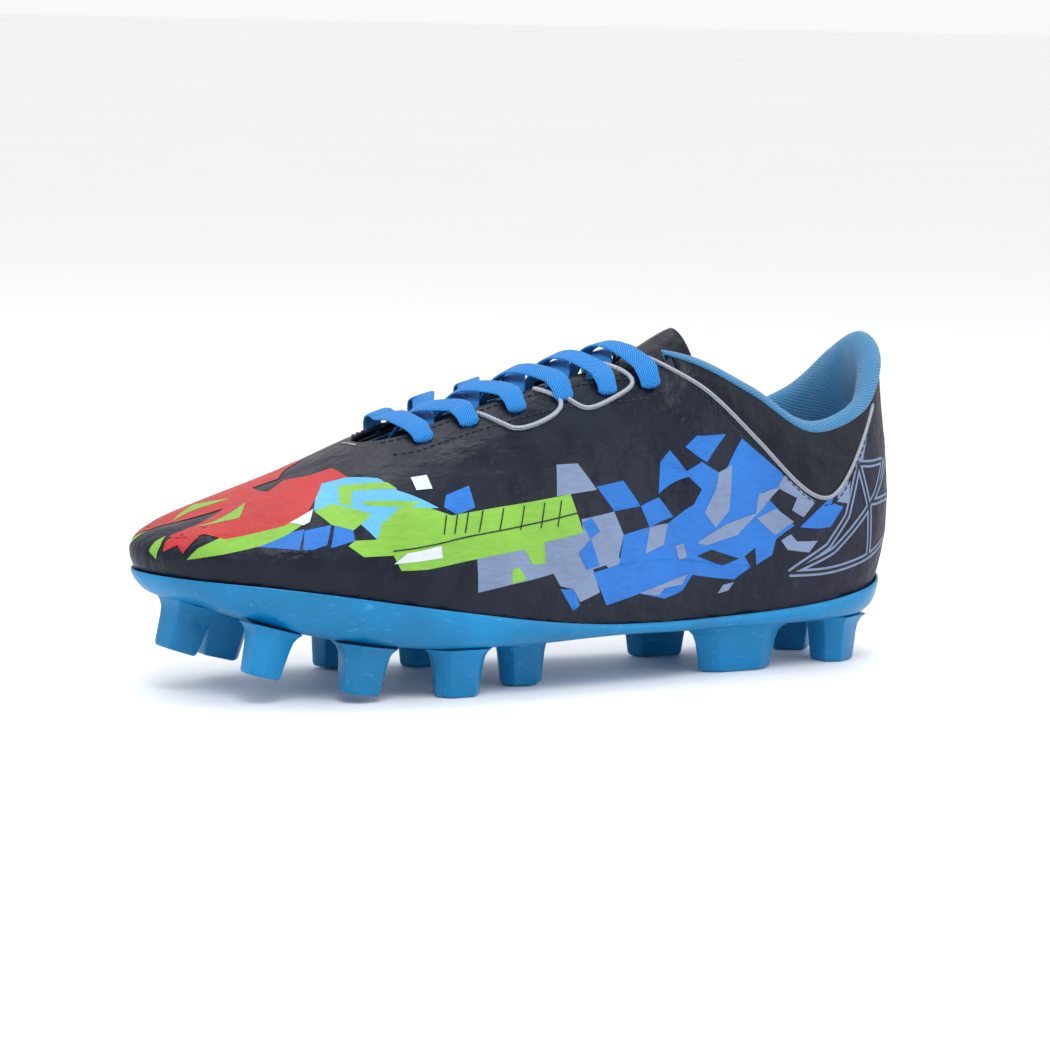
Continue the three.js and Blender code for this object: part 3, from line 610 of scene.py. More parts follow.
def make_moulded(name, base):
    """Moulded, faintly translucent plastic with flow marks, handling scratches and a soft gloss."""
    paint = Paint(name)
    where = paint.place(surface=False)
    cloudy = paint.ramp(paint.noise(where, 26 * MM, detail=3.0), 0.35, 0.7)
    scratches = paint.ramp(paint.noise(where, 1.4 * MM, detail=7.0, stretch=(0.25, 1.2, 1)), 0.62, 0.72)
    deep = toned(base, 0.72)
    tone = paint.mix(cloudy, deep, base)
    paint.shade(
        base_color=paint.mix(paint.math("MULTIPLY", scratches, 0.18), tone, colour(130, 200, 232)),
        roughness=paint.ramp(paint.math("ADD", cloudy, scratches), 0, 2, 0.3, 0.55),
        specular_ior_level=0.3,
        subsurface_weight=0.25,
        subsurface_radius=(0.3, 0.8, 1.0),
        subsurface_scale=2 * MM,
        normal=paint.bump(scratches, 0.04 * MM, paint.bump(paint.noise(where, 7 * MM), 0.5 * MM)),
    )
    return paint.material


def make_cord(name, base):
    """Twisted piping: slanted plies in surface coordinates."""
    paint = Paint(name)
    where = paint.place(surface=True)
    split = paint.add("SeparateXYZ", vector=where)
    twist = paint.math("ADD", split.outputs[0], paint.math("MULTIPLY", split.outputs[1], 0.6))
    plies = paint.ramp(paint.math("SINE", paint.math("MULTIPLY", twist, 2 * math.pi / (0.9 * MM))), -1, 1)
    grime = paint.ramp(paint.noise(where, 6 * MM, detail=5.0), 0.4, 0.75)
    dull = toned(base, 0.6)
    paint.shade(
        base_color=paint.mix(paint.math("MULTIPLY", grime, 0.6), paint.mix(plies, dull, base), dull),
        roughness=paint.ramp(plies, 0, 1, 0.65, 0.45),
        normal=paint.bump(plies, 0.2 * MM),
    )
    return paint.material


def make_fibre(name, base, size):
    """Felted or foamed inner material: cells of the given size and a mottled tone."""
    paint = Paint(name)
    where = paint.place(surface=False)
    cells = paint.add("TexVoronoi", vector=where)
    cells.inputs["Scale"].default_value = 1 / size
    mottle = paint.noise(where, 5 * MM, detail=6.0)
    dark = toned(base, 0.6)
    paint.shade(
        base_color=paint.mix(paint.math("MULTIPLY", mottle, cells.outputs["Distance"]), base, dark),
        roughness=paint.ramp(mottle, 0.3, 0.7, 0.8, 0.98),
        normal=paint.bump(cells.outputs["Distance"], 0.3 * size),
    )
    return paint.material


def make_floor():
    paint = Paint("floor_paint")
    where = paint.place(surface=False)
    paint.shade(
        base_color=paint.mix(paint.noise(where, 0.4), colour(244, 245, 247), colour(250, 250, 251)),
        roughness=paint.ramp(paint.noise(where, 3 * MM), 0.3, 0.7, 0.55, 0.65),
    )
    return paint.material


SYNTHETIC = make_synthetic("upper_synthetic", NAVY)
PADDED = make_synthetic("panel_synthetic", colour(6, 12, 26))
HEEL_CLOTH = make_heel_cloth()
INK_COLOURS = {
    "azure": AZURE,
    "sky": SKY,
    "lavender": LAVENDER,
    "lime": LIME,
    "red": RED,
    "white": WHITE,
    "dark": NAVY,
}
INKS = {name: make_print("ink_" + name, ink) for name, ink in INK_COLOURS.items()}
KNIT = make_knit("collar_knit", COLLAR_BLUE)
LINING = make_knit("lining_knit", colour(30, 96, 140), pitch=1.8 * MM)
LACE = make_weave("lace_weave", LACE_BLUE)
FOOTBED = make_weave("footbed_weave", colour(26, 88, 168), pitch=1.6 * MM, slant=0.0)
MOULDED = make_moulded("outsole_plastic", OUTSOLE_BLUE)
PIPING = make_cord("piping_cord", SILVER)
THREAD = make_cord("dark_thread", colour(40, 46, 62))
WHITE_THREAD = make_cord("white_thread", colour(220, 224, 230))
BOARD = make_fibre("board_fibre", colour(178, 166, 138), 1.2 * MM)
FOAM = make_fibre("foam_cells", colour(210, 206, 192), 0.8 * MM)
STIFFENER = make_fibre("stiffener_felt", colour(226, 222, 210), 1.5 * MM)
EYESTAY = make_fibre("eyestay_felt", colour(34, 38, 50), 1.2 * MM)


# ---- sole ------------------------------------------------------------------------------------

def cup_profile(k):
    """The outsole's cup at ring coordinates: over the rim, down the wall, in to the spine and back."""
    foot, handle, _, _ = rib_curves(k)
    tilt = handle - foot
    out = np.column_stack([tilt[:, 0:2], np.zeros(len(k))])
    spread = np.linalg.norm(out, axis=1) / tilt[:, 2]
    out = unit(out)
    s = LENGTH / 2 - foot[:, 0]
    bottom = plate_bottom(np.clip(s, 8 * MM, LENGTH - 9 * MM))
    wall = foot[:, 2] - bottom

    def place(offset, drop):
        points = foot + out * (offset - spread * np.minimum(drop, 6 * MM))[:, None]
        points[:, 2] = foot[:, 2] - drop
        return points

    spine_s = np.clip(s, 22 * MM, LENGTH - 22 * MM)
    spine = np.column_stack([
        station_x(spine_s),
        4 * MM * smoothstep(spine_s, 180 * MM, LENGTH),
        plate_bottom(spine_s),
    ])
    plate_top = spine + [0, 0, PLATE]
    outside = [
        place(0.3 * MM, 0),
        place(1.2 * MM, -0.3 * MM),
        place(2.0 * MM, 0.8 * MM),
        place(2.3 * MM, 0.35 * wall),
        place(1.6 * MM, 0.62 * wall),
        place(-0.6 * MM, 0.84 * wall),
        place(-5.5 * MM, wall),
    ]
    inside = [
        place(-6.5 * MM, wall - PLATE),
        place(-2.8 * MM, np.maximum(0.72 * wall - PLATE / 2, 1 * MM)),
        place(0.35 * MM, np.minimum(5.4 * MM, 0.5 * wall)),
    ]
    return np.stack(outside + [spine, plate_top] + inside, axis=1)


STUDS = {  # station, y, length, width of the foot in millimetres, and turn in degrees
    "toe": (265, 5, 15, 12, 0),
    "lateral_front": (249, -27, 15, 10, 24),
    "medial_front": (240, 29, 15, 10, -16),
    "lateral_ball": (218, -34.5, 15.5, 10.5, 9),
    "medial_ball": (196, 33, 15.5, 10.5, -3),
    "lateral_rear": (184, -35, 16.5, 11, 0),
    "medial_rear": (166, 27, 16, 11, 8),
    "centre": (153, -22, 15, 11, -6),
    "heel_medial": (76, 17.5, 22, 9.5, 0),
    "heel_lateral": (67, -21.5, 29, 9.5, 0),
    "back_medial": (22, 13.5, 15, 11, -30),
    "back_lateral": (21, -14, 16, 12, 30),
}
STUD_SECTION = [  # shares of the stud's length and width
    (-0.5, -0.12), (-0.28, -0.5), (0.28, -0.5), (0.5, -0.12), (0.36, 0.5), (-0.36, 0.5),
]
STUD_STEPS = [  # scale of the section, and height in millimetres
    (0.9, -15.9), (1.0, -15), (1.14, -5.5), (1.22, -2.6), (1.36, -0.9), (1.62, 0.8),
]


def make_stud(name, station, y, long, wide, turn):
    """A tapered six-sided stud: flat foot, straight shank and a root that flares into the plate."""
    s = station * MM
    pitch = math.atan((plate_bottom(s + MM) - plate_bottom(s - MM)) / (2 * MM))
    turned = math.radians(turn if y < 0 else turn + 180)
    pose = Matrix.Rotation(pitch, 3, "Y") @ Matrix.Rotation(turned, 3, "Z")
    root = Vector((station_x(s), y * MM, plate_bottom(s)))
    points = [
        root + pose @ (Vector((a * long * scale, b * wide * scale, height)) * MM)
        for scale, height in STUD_STEPS
        for a, b in STUD_SECTION
    ]
    sides = len(STUD_SECTION)
    faces = grid_faces(len(STUD_STEPS), sides, closed_rows=True) + end_caps(len(STUD_STEPS), sides)
    return add_object("stud_" + name, points, faces, MOULDED)


def make_outsole():
    """The cup with its rolled rim, and twelve studs with rounded edges whose roots run into its plate."""
    ks = np.linspace(0, RING, 6 * RING + 1)
    rings = cup_profile(ks)
    rows = rings.shape[1]
    spine_row = rows - 5
    faces = [
        face for i, face in enumerate(grid_faces(len(ks), rows, closed_rows=True)) if i % rows != spine_row
    ]
    outsole = add_object("outsole", rings.reshape(-1, 3), faces, MOULDED)
    clean(outsole, 0.05 * MM)
    subdivide(outsole)
    studs = [make_stud(name, *numbers) for name, numbers in STUDS.items()]
    for stud in studs:
        clean(stud)
        edges = stud.modifiers.new("edges", "BEVEL")
        edges.width = 0.9 * MM
        edges.segments = 3
        edges.angle_limit = math.radians(25)
        apply_modifiers(stud)
    outsole = join("outsole", [outsole] + studs)
    outsole.data.shade_smooth()
    outsole.data.set_sharp_from_angle(angle=math.radians(38))
    dress(outsole, "outsole", "outsole_forefoot", "outsole_rearfoot", bends=True)


def make_sock_liner():
    """The woven footbed: a slightly dished sheet over the board."""
    ks = np.linspace(0, RING, 6 * RING + 1)
    rings = cup_profile(ks)
    spine, edge = rings[:, 8], rings[:, 9]
    inward = unit((spine - edge) * [1, 1, 0])
    rise = 1.8 * MM
    share = np.linspace(0, 1, 14)[None, :, None]
    floor = spine[:, None] * (1 - share) + (edge + inward * 0.8 * MM)[:, None] * share
    dish = 1.2 * MM * share**6
    low = floor + [0, 0, 1] * (rise + dish)
    high = floor + [0, 0, 1] * (rise + 3.5 * MM + dish)
    loops = np.concatenate([high, low[:, ::-1]], axis=1)
    rows = loops.shape[1]
    faces = [f for i, f in enumerate(grid_faces(len(ks), rows, closed_rows=True)) if i % rows != rows - 1]
    liner = add_object("sock_liner", loops.reshape(-1, 3), faces, FOOTBED)
    set_uv(liner, loops.reshape(-1, 3)[:, :2])
    clean(liner)
    dress(liner, "sock_liner", "sock_liner_forefoot", "sock_liner_rearfoot", bends=True)


# ---- upper -----------------------------------------------------------------------------------

def ring_columns(step=0.125):
    """Ring coordinates from heel to heel round the toe, closer together where the outline turns."""
    throat = FLEX_RIB + 0.9 * np.linspace(0, 1, 14) ** 1.7
    turns = [PANEL_START - 0.01, PANEL_START + 0.01, PANEL_END - 0.01]
    ribs = np.unique(np.concatenate([np.arange(0, HEEL + step / 2, step), throat, turns]).round(4))
    return np.concatenate([-ribs[:0:-1], ribs])


def edge_shares(rows):
    """Row positions from 0 to 1, with close rows at both ends so that the cut edges shade as edges."""
    return np.concatenate([[0, 0.004], np.linspace(0.02, 0.98, rows), [0.996, 1]])


def shell(name, ks, low, high, rows, depths, material):
    """A closed layer of the upper between two depths; over the ridge both halves run on without a rim."""
    share = edge_shares(rows)
    v = low[:, None] + (high - low)[:, None] * share
    k = np.repeat(ks[:, None], len(share), axis=1)
    outside = layered(k, v, depths[0]).reshape(len(ks), -1, 3)
    inside = layered(k, v, depths[1]).reshape(len(ks), -1, 3)
    loops = np.concatenate([outside, inside[:, ::-1]], axis=1)
    rows = loops.shape[1]
    over_ridge = rib_index(ks) <= FLEX_RIB + 1e-6
    faces = []
    for i, face in enumerate(grid_faces(len(ks), rows, closed_rows=True)):
        column, row = divmod(i, rows)
        if row == len(share) - 1 and over_ridge[column] and over_ridge[column + 1]:
            continue
        faces.append(face)
    thing = add_object(name, loops.reshape(-1, 3), faces, material)
    along = arc_lengths(outside[:, len(share) // 3])
    across = np.stack([arc_lengths(column) for column in outside])
    across = np.concatenate([across, across[:, ::-1]], axis=1)
    set_grid_uv(thing, along, across)
    clean(thing)
    return thing


def upper_top(ks):
    """Where the outer skin ends: the ridge, the throat, the collar panel or the heel's rim."""
    rib = rib_index(ks)
    panel = (rib > PANEL_START) & (rib < PANEL_END)
    behind = np.where(panel, v_below_top(ks, panel_drop(rib) - 0.6 * MM), v_below_top(ks, RIM))
    return np.where(rib <= FLEX_RIB + 1e-6, 1.0, np.where(rib <= PANEL_START, throat_v(ks), behind))


def ring_at_station(side, s):
    """The ring coordinate, on one side, whose throat edge lies at a station."""
    low, high = FLEX_RIB, LAST_RIDGE_RIB + 0.6
    for _ in range(30):
        middle = (low + high) / 2
        k = np.array([side * middle])
        if skin(k, throat_v(k))[0, 0] < station_x(s):
            low = middle
        else:
            high = middle
    return side * low


def eyelet(side, row):
    """Ring coordinate, v and rib length at an eyelet; row 0 is the front one."""
    k = ring_at_station(side, EYELET_STATIONS[row])
    length = rib_length(k)[0]
    return k, throat_v(np.array([k]))[0] - EYELET_INSET / length, length


def punch_eyelets(thing):
    """Cuts the twelve round eyelets with one joined set of pins."""
    pins = []
    for side in (-1, 1):
        for row in range(len(EYELET_STATIONS)):
            k, v, _ = eyelet(side, row)
            outer, inner = layered(k, v, -3 * MM)[0], layered(k, v, 7 * MM)[0]
            pins.append(tube("pin", np.linspace(outer, inner, 4), EYELET_RADIUS, SYNTHETIC, 20, tip=1))
    cutter = join("pins", pins)
    clean(cutter)
    cut = thing.modifiers.new("eyelets", "BOOLEAN")
    cut.operation = "DIFFERENCE"
    cut.object = cutter
    apply_modifiers(thing)
    bpy.data.objects.remove(cutter)


def paint_heel(upper):
    """The heel's brushed synthetic starts behind a slanted seam."""
    upper.data.materials.append(HEEL_CLOTH)
    seam_station, seam_height, slant = 47 * MM, 40 * MM, 0.35
    for face in upper.data.polygons:
        seam = station_x(seam_station) + slant * (face.center.z - seam_height)
        if face.center.x > seam:
            face.material_index = 1


def make_upper():
    ks = ring_columns()
    low = -2.2 * MM / rib_length(ks)
    upper = shell("upper", ks, low, upper_top(ks), 36, (0, UPPER_THICKNESS), SYNTHETIC)
    punch_eyelets(upper)
    paint_heel(upper)
    dress(upper, "synthetic_upper", "vamp", "vamp_crease", "quarter_lateral", "quarter_medial", bends=True)


def make_lining():
    ks = ring_columns(0.25)
    rib = rib_index(ks)
    low = -1.5 * MM / rib_length(ks)
    behind = smoothstep(rib, LAST_RIDGE_RIB + 0.1, LAST_RIDGE_RIB + 0.7)
    edge = throat_v(ks) - 2 * MM / rib_length(ks)
    top = edge * (1 - behind) + v_below_top(ks, LINING_DROP - 3 * MM) * behind
    top = np.where(rib <= FLEX_RIB + 1e-6, 1.0, top)
    lining = shell("inner_lining", ks, low, top, 24, (LINING_DEPTH, LINING_DEPTH + 0.7 * MM), LINING)
    nodes = ["vamp_lining", "vamp_lining_crease", "quarter_lining_lateral", "quarter_lining_medial"]
    dress(lining, "lining_textile", *nodes, bends=True)


# ---- padded pieces ---------------------------------------------------------------------------

CLOTH_FRAMES = 20


def inflate(thing, pressure, most, hold):
    """hold gives each point's share of being sewn down.
    """
    rest = np.zeros(len(thing.data.vertices) * 3)
    thing.data.vertices.foreach_get("co", rest)
    rest = rest.reshape(-1, 3)
    sewn = thing.vertex_groups.new(name="sewn")
    for index, share in enumerate(hold(rest)):
        sewn.add([index], float(share), "REPLACE")
    cloth = thing.modifiers.new("cloth", "CLOTH")
    cloth.settings.quality = 6
    cloth.settings.mass = 0.2
    cloth.settings.tension_stiffness = 12
    cloth.settings.bending_stiffness = 0.4
    cloth.settings.use_pressure = True
    cloth.settings.uniform_pressure_force = pressure
    cloth.settings.vertex_group_mass = "sewn"
    cloth.settings.effector_weights.gravity = 0
    cloth.collision_settings.use_collision = False
    for number in range(1, CLOTH_FRAMES + 1):
        bpy.context.scene.frame_set(number)
    apply_modifiers(thing)
    puffed = np.zeros(len(thing.data.vertices) * 3)
    thing.data.vertices.foreach_get("co", puffed)
    move = puffed.reshape(-1, 3) - rest
    size = np.linalg.norm(move, axis=1, keepdims=True)
    move *= np.minimum(1, most / np.maximum(size, 1e-9))
    thing.data.vertices.foreach_set("co", (rest + move).ravel())
    thing.data.update()
    bpy.context.scene.frame_set(1)


def make_collar_panel(side):
    """One padded panel beside the heel, puffed between its piping and the collar's rolled edge."""
    name = "medial" if side > 0 else "lateral"
    ks = side * np.linspace(PANEL_START + 0.02, PANEL_END - 0.25, 70)
    low = v_below_top(ks, panel_drop(rib_index(ks)))
    high = v_below_top(ks, 1.2 * MM)
    share = edge_shares(16)
    v = low[:, None] + (high - low)[:, None] * share
    k = np.repeat(ks[:, None], len(share), axis=1)
    ends = np.sin(np.pi * np.linspace(0, 1, len(ks))) ** 0.35
    swell = 1.1 * MM * ends[:, None] * np.sin(np.pi * share) ** 0.6
    outside = layered(k, v, -swell).reshape(len(ks), -1, 3)
    inside = layered(k, v, np.full(k.shape, UPPER_THICKNESS)).reshape(len(ks), -1, 3)
    loops = np.concatenate([outside, inside[:, ::-1]], axis=1)
    rows = loops.shape[1]
    faces = grid_faces(len(ks), rows, closed_rows=True) + end_caps(len(ks), rows)
    panel = add_object("collar_pad_" + name, loops.reshape(-1, 3), faces, PADDED)
    clean(panel)
    inner = BVHTree.FromPolygons([tuple(p) for p in inside.reshape(-1, 3)], grid_faces(len(ks), len(share)))

    def hold(points):
        near = np.array([inner.find_nearest(Vector(p))[3] for p in points])
        return np.where(near < 0.35 * MM, 1.0, 0.0)

    inflate(panel, 3.0, 0.7 * MM, hold)
    dress(panel, "padded_panel", "collar_panel_" + name)


COLLAR_SECTION = [  # drop below the collar's edge, and depth below the skin, in millimetres
    (2.6, -0.1), (0.9, -1.0), (-1.2, -0.2), (-2.6, 2.2), (-1.8, 5.4), (1.6, 7.6),
    (6, 8.2), (12, 8.0), (18, 7.2), (25, 5.8), (31, 4.8), (36, 4.2),
]


def make_collar():
    """The knitted collar lining, rolled over its foam and down inside to the lining."""
    start = COLLAR_START - 0.3
    ks = np.linspace(start, RING - start, 260)
    rib = rib_index(ks)
    padded = 0.45 + 0.55 * smoothstep(rib, COLLAR_START, COLLAR_START + 1.3)
    drops = np.array([drop for drop, _ in COLLAR_SECTION]) * MM
    depths = np.array([depth for _, depth in COLLAR_SECTION]) * MM
    k = np.repeat(ks[:, None], len(drops), axis=1)
    length = rib_length(ks)[:, None]
    v = 1 - drops / length
    soft = 1 + 0.05 * np.sin(ks * 5.1)[:, None] * (drops > 2 * MM)
    depth = np.where(depths > 1 * MM, depths * padded[:, None] * soft, depths)
    skin_side = layered(k, v, depth).reshape(len(ks), -1, 3)
    backing = layered(k, v, np.clip(depth - 0.8 * MM, 0.4 * MM, 8 * MM)).reshape(len(ks), -1, 3)
    inward = v_below_top(ks, 3.2 * MM)
    backing[:, 0] = layered(ks, inward, 0.3 * MM)
    loops = np.concatenate([skin_side, backing[:, :3:-1]], axis=1)
    rows = loops.shape[1]
    faces = grid_faces(len(ks), rows, closed_rows=True) + end_caps(len(ks), rows)
    collar = add_object("collar_roll", loops.reshape(-1, 3), faces, KNIT)
    along = arc_lengths(skin_side[:, 3])
    across = np.stack([arc_lengths(ring) for ring in loops])
    set_grid_uv(collar, along, across)
    subdivide(collar)
    clean(collar)
    dress(collar, "collar_knit", "collar_lining")


def tongue_rows(t, depth, count=14):
    """Points across the tongue at t, 0 at the throat and 1 at its free end, at one depth."""
    bound = 0.74
    ribbed = min(t / bound, 1)
    free = max(t - bound, 0) / (1 - bound)
    first_rib, last_rib = TONGUE_RIBS
    narrow, wide = TONGUE_HALF_WIDTH
    rib = first_rib + (last_rib - first_rib) * ribbed
    half = (narrow + (wide - narrow) * ribbed) * (1 - 0.18 * free**2)
    back = np.array([0.84, 0, 0.54]) * TONGUE_FREE * free
    edge = v_at_half_width(np.array([rib]), half)[0]
    v = np.linspace(edge, 1, count)
    lateral = layered(-rib, v, depth) + back
    medial = layered(rib, v, depth) + back
    return np.concatenate([lateral[:-1], medial[:-1][::-1]])


def make_tongue():
    """The padded tongue: dark face, rolled edges and a knitted underside, in one puffed piece."""
    ts = np.linspace(0, 1, 60)
    width = np.sin(np.pi * np.linspace(0.03, 0.97, 26)) ** 0.5
    middle_depth = (TONGUE_TOP + TONGUE_BOTTOM) / 2
    thick = (TONGUE_BOTTOM - TONGUE_TOP) / 2
    loops = []
    for t in ts:
        swell = 0.35 + 0.65 * math.sin(math.pi * min(1, 0.08 + 0.92 * t)) ** 0.4
        middle = tongue_rows(t, middle_depth)
        up = (tongue_rows(t, TONGUE_TOP) - tongue_rows(t, TONGUE_BOTTOM)) / (2 * thick)
        puff = (thick * swell * width)[:, None]
        loops.append(np.concatenate([middle + up * puff, (middle - up * puff)[::-1]]))
    loops = np.array(loops)
    rows = loops.shape[1]
    faces = grid_faces(len(ts), rows, closed_rows=True) + end_caps(len(ts), rows)
    tongue = add_object("tongue_pad", loops.reshape(-1, 3), faces, PADDED)
    tongue.data.materials.append(KNIT)
    for face in tongue.data.polygons:
        row = face.index % rows
        if rows // 2 - 1 <= row < rows:
            face.material_index = 1
    along = arc_lengths(loops[:, 0])
    across = np.stack([arc_lengths(ring) for ring in loops])
    set_grid_uv(tongue, along, across)
    clean(tongue)

    def hold(points):
        return np.where(points[:, 0] < TONGUE_SEWN_X, 1.0, 0.0)

    inflate(tongue, 2.0, 0.5 * MM, hold)
    dress(tongue, "padded_panel", "tongue_face", "tongue_foam", "tongue_lining", body="tongue")


# ---- lace ------------------------------------------------------------------------------------

FLAT = (4.2 * MM, 0.6 * MM)  # half width and half thickness
FOLDED = (3.7 * MM, 0.7 * MM)  # where it turns into an eyelet
PUNCHED = (1.8 * MM, 1.0 * MM)  # as it bunches through an eyelet
LACE_SAMPLES = 7  # between two points of its route


def lace_point(k, v, depth, section=FLAT):
    """A point on the lace: place, upward direction and section."""
    return layered(k, v, depth)[0], skin_normal(k, v)[0], section


def open_point(s, y, depth):
    """A point over the tongue between the eyestays, at a station and a y, a depth below the skin."""
    rib = abs(ring_at_station(-1, s))
    k = rib if y > 0 else -rib
    v = v_at_half_width(np.array([k]), max(abs(y), 0.5 * MM))[0]
    place, up, section = lace_point(k, v, depth)
    place[1] = y
    return place, up, section


def through_eyelet(side, row):
    """Over the eyestay's edge in a raised loop, folded into the eyelet, and back out below the edge."""
    k, v, length = eyelet(side, row)
    loop = (2.2 if side < 0 else 4.0) * MM

    def reach(share):
        return v + share * EYELET_INSET / length

    return [
        lace_point(k, reach(1.3), -0.9 * loop),
        lace_point(k, reach(0.8), -1.1 * loop),
        lace_point(k, reach(0.25), -0.85 * loop, FOLDED),
        lace_point(k, reach(-0.12), -0.9 * MM, FOLDED),
        lace_point(k, reach(-0.08), 1.6 * MM, PUNCHED),
        lace_point(k, reach(0.05), 4.9 * MM, PUNCHED),
        lace_point(k, reach(0.6), 5.8 * MM, (2.6 * MM, 0.5 * MM)),
        lace_point(k, reach(1.3), 5.9 * MM, (2.9 * MM, 0.6 * MM)),
    ]


def crossing(side, row):
    """From under one edge across the tongue; the strand from the lateral eyelet stays below."""
    start, end = EYELET_STATIONS[row], EYELET_STATIONS[row + 1]
    depths = (3.6, 2.4, 1.0) if side < 0 else (0.8, -1.4, -1.8)
    return [
        open_point(start + (end - start) * (0.3 + 0.2 * i), -side * y * MM, depth * MM)
        for i, (y, depth) in enumerate(zip((-5.5, 0, 5.5), depths))
    ]


def lace_half(side):
    points = []
    for row in range(len(EYELET_STATIONS)):
        points += through_eyelet(side, row)
        if row + 1 < len(EYELET_STATIONS):
            points += crossing(side, row)
        side = -side
    return points[:-2]


def centripetal(points, between):
    """A smooth curve through points, with a number of samples between each pair."""
    padded = np.vstack([2 * points[0] - points[1], points, 2 * points[-1] - points[-2]])
    gaps = np.maximum(np.linalg.norm(np.diff(padded, axis=0), axis=1) ** 0.5, 1e-4)
    curve = []
    for i in range(1, len(padded) - 2):
        p0, p1, p2, p3 = padded[i - 1 : i + 3]
        d0, d1, d2 = gaps[i - 1 : i + 2]
        leave = ((p1 - p0) / d0 - (p2 - p0) / (d0 + d1) + (p2 - p1) / d1) * d1
        arrive = ((p2 - p1) / d1 - (p3 - p1) / (d1 + d2) + (p3 - p2) / d2) * d1
        for t in np.arange(between) / between:
            rest = 2 * p1 - 2 * p2 + leave + arrive
            curve.append(p1 + leave * t + (3 * (p2 - p1) - 2 * leave - arrive) * t * t + rest * t**3)
    curve.append(padded[-2])
    return np.array(curve)


def make_lace():
    """One flat woven lace through all twelve eyelets, with both of its ends tucked in."""
    bar = [open_point(EYELET_STATIONS[0] + 0.5 * MM, y * MM, -2.4 * MM) for y in (-8, 0, 8)]
    route = lace_half(-1)[::-1] + bar + lace_half(1)
    centres = centripetal(np.array([place for place, _, _ in route]), LACE_SAMPLES)
    shares = np.linspace(0, len(route) - 1, len(centres))

    def along_curve(values):
        """Values at the route's points, interpolated to the curve's samples."""
        return np.interp(shares, range(len(route)), values)

    ups = np.column_stack([along_curve([up[axis] for _, up, _ in route]) for axis in range(3)])
    half = along_curve([section[0] for _, _, section in route])
    thick = along_curve([section[1] for _, _, section in route])
    tangents = unit(np.gradient(centres, axis=0))
    across = np.cross(tangents, unit(ups))
    weak = np.linalg.norm(across, axis=1) < 0.35
    across[weak] += [1, 0, 0]
    across = unit(across)
    for i in range(1, len(across)):
        if across[i] @ across[i - 1] < 0:
            across[i] = -across[i]
    for _ in range(3):
        across[1:-1] = unit(across[:-2] + across[1:-1] + across[2:])
    across = unit(across - tangents * (across * tangents).sum(axis=1, keepdims=True))
    normals = np.cross(across, tangents)
    turns = np.linspace(0, 2 * math.pi, 16, endpoint=False)
    wide = np.sign(np.cos(turns)) * np.abs(np.cos(turns)) ** 0.55
    tall = np.sign(np.sin(turns)) * np.abs(np.sin(turns)) ** 0.75
    points = centres[:, None] + across[:, None] * (half[:, None] * wide)[..., None]
    points += normals[:, None] * (thick[:, None] * tall)[..., None]
    faces = grid_faces(len(centres), len(turns), closed_rows=True) + end_caps(len(centres), len(turns))
    lace = add_object("lace_tape", points.reshape(-1, 3), faces, LACE)
    widths = np.broadcast_to(FLAT[0] * wide, (len(centres), len(turns)))
    set_grid_uv(lace, arc_lengths(centres), widths)
    clean(lace)
    dress(lace, "lace", "lace")


# ---- print, piping and stitching -------------------------------------------------------------

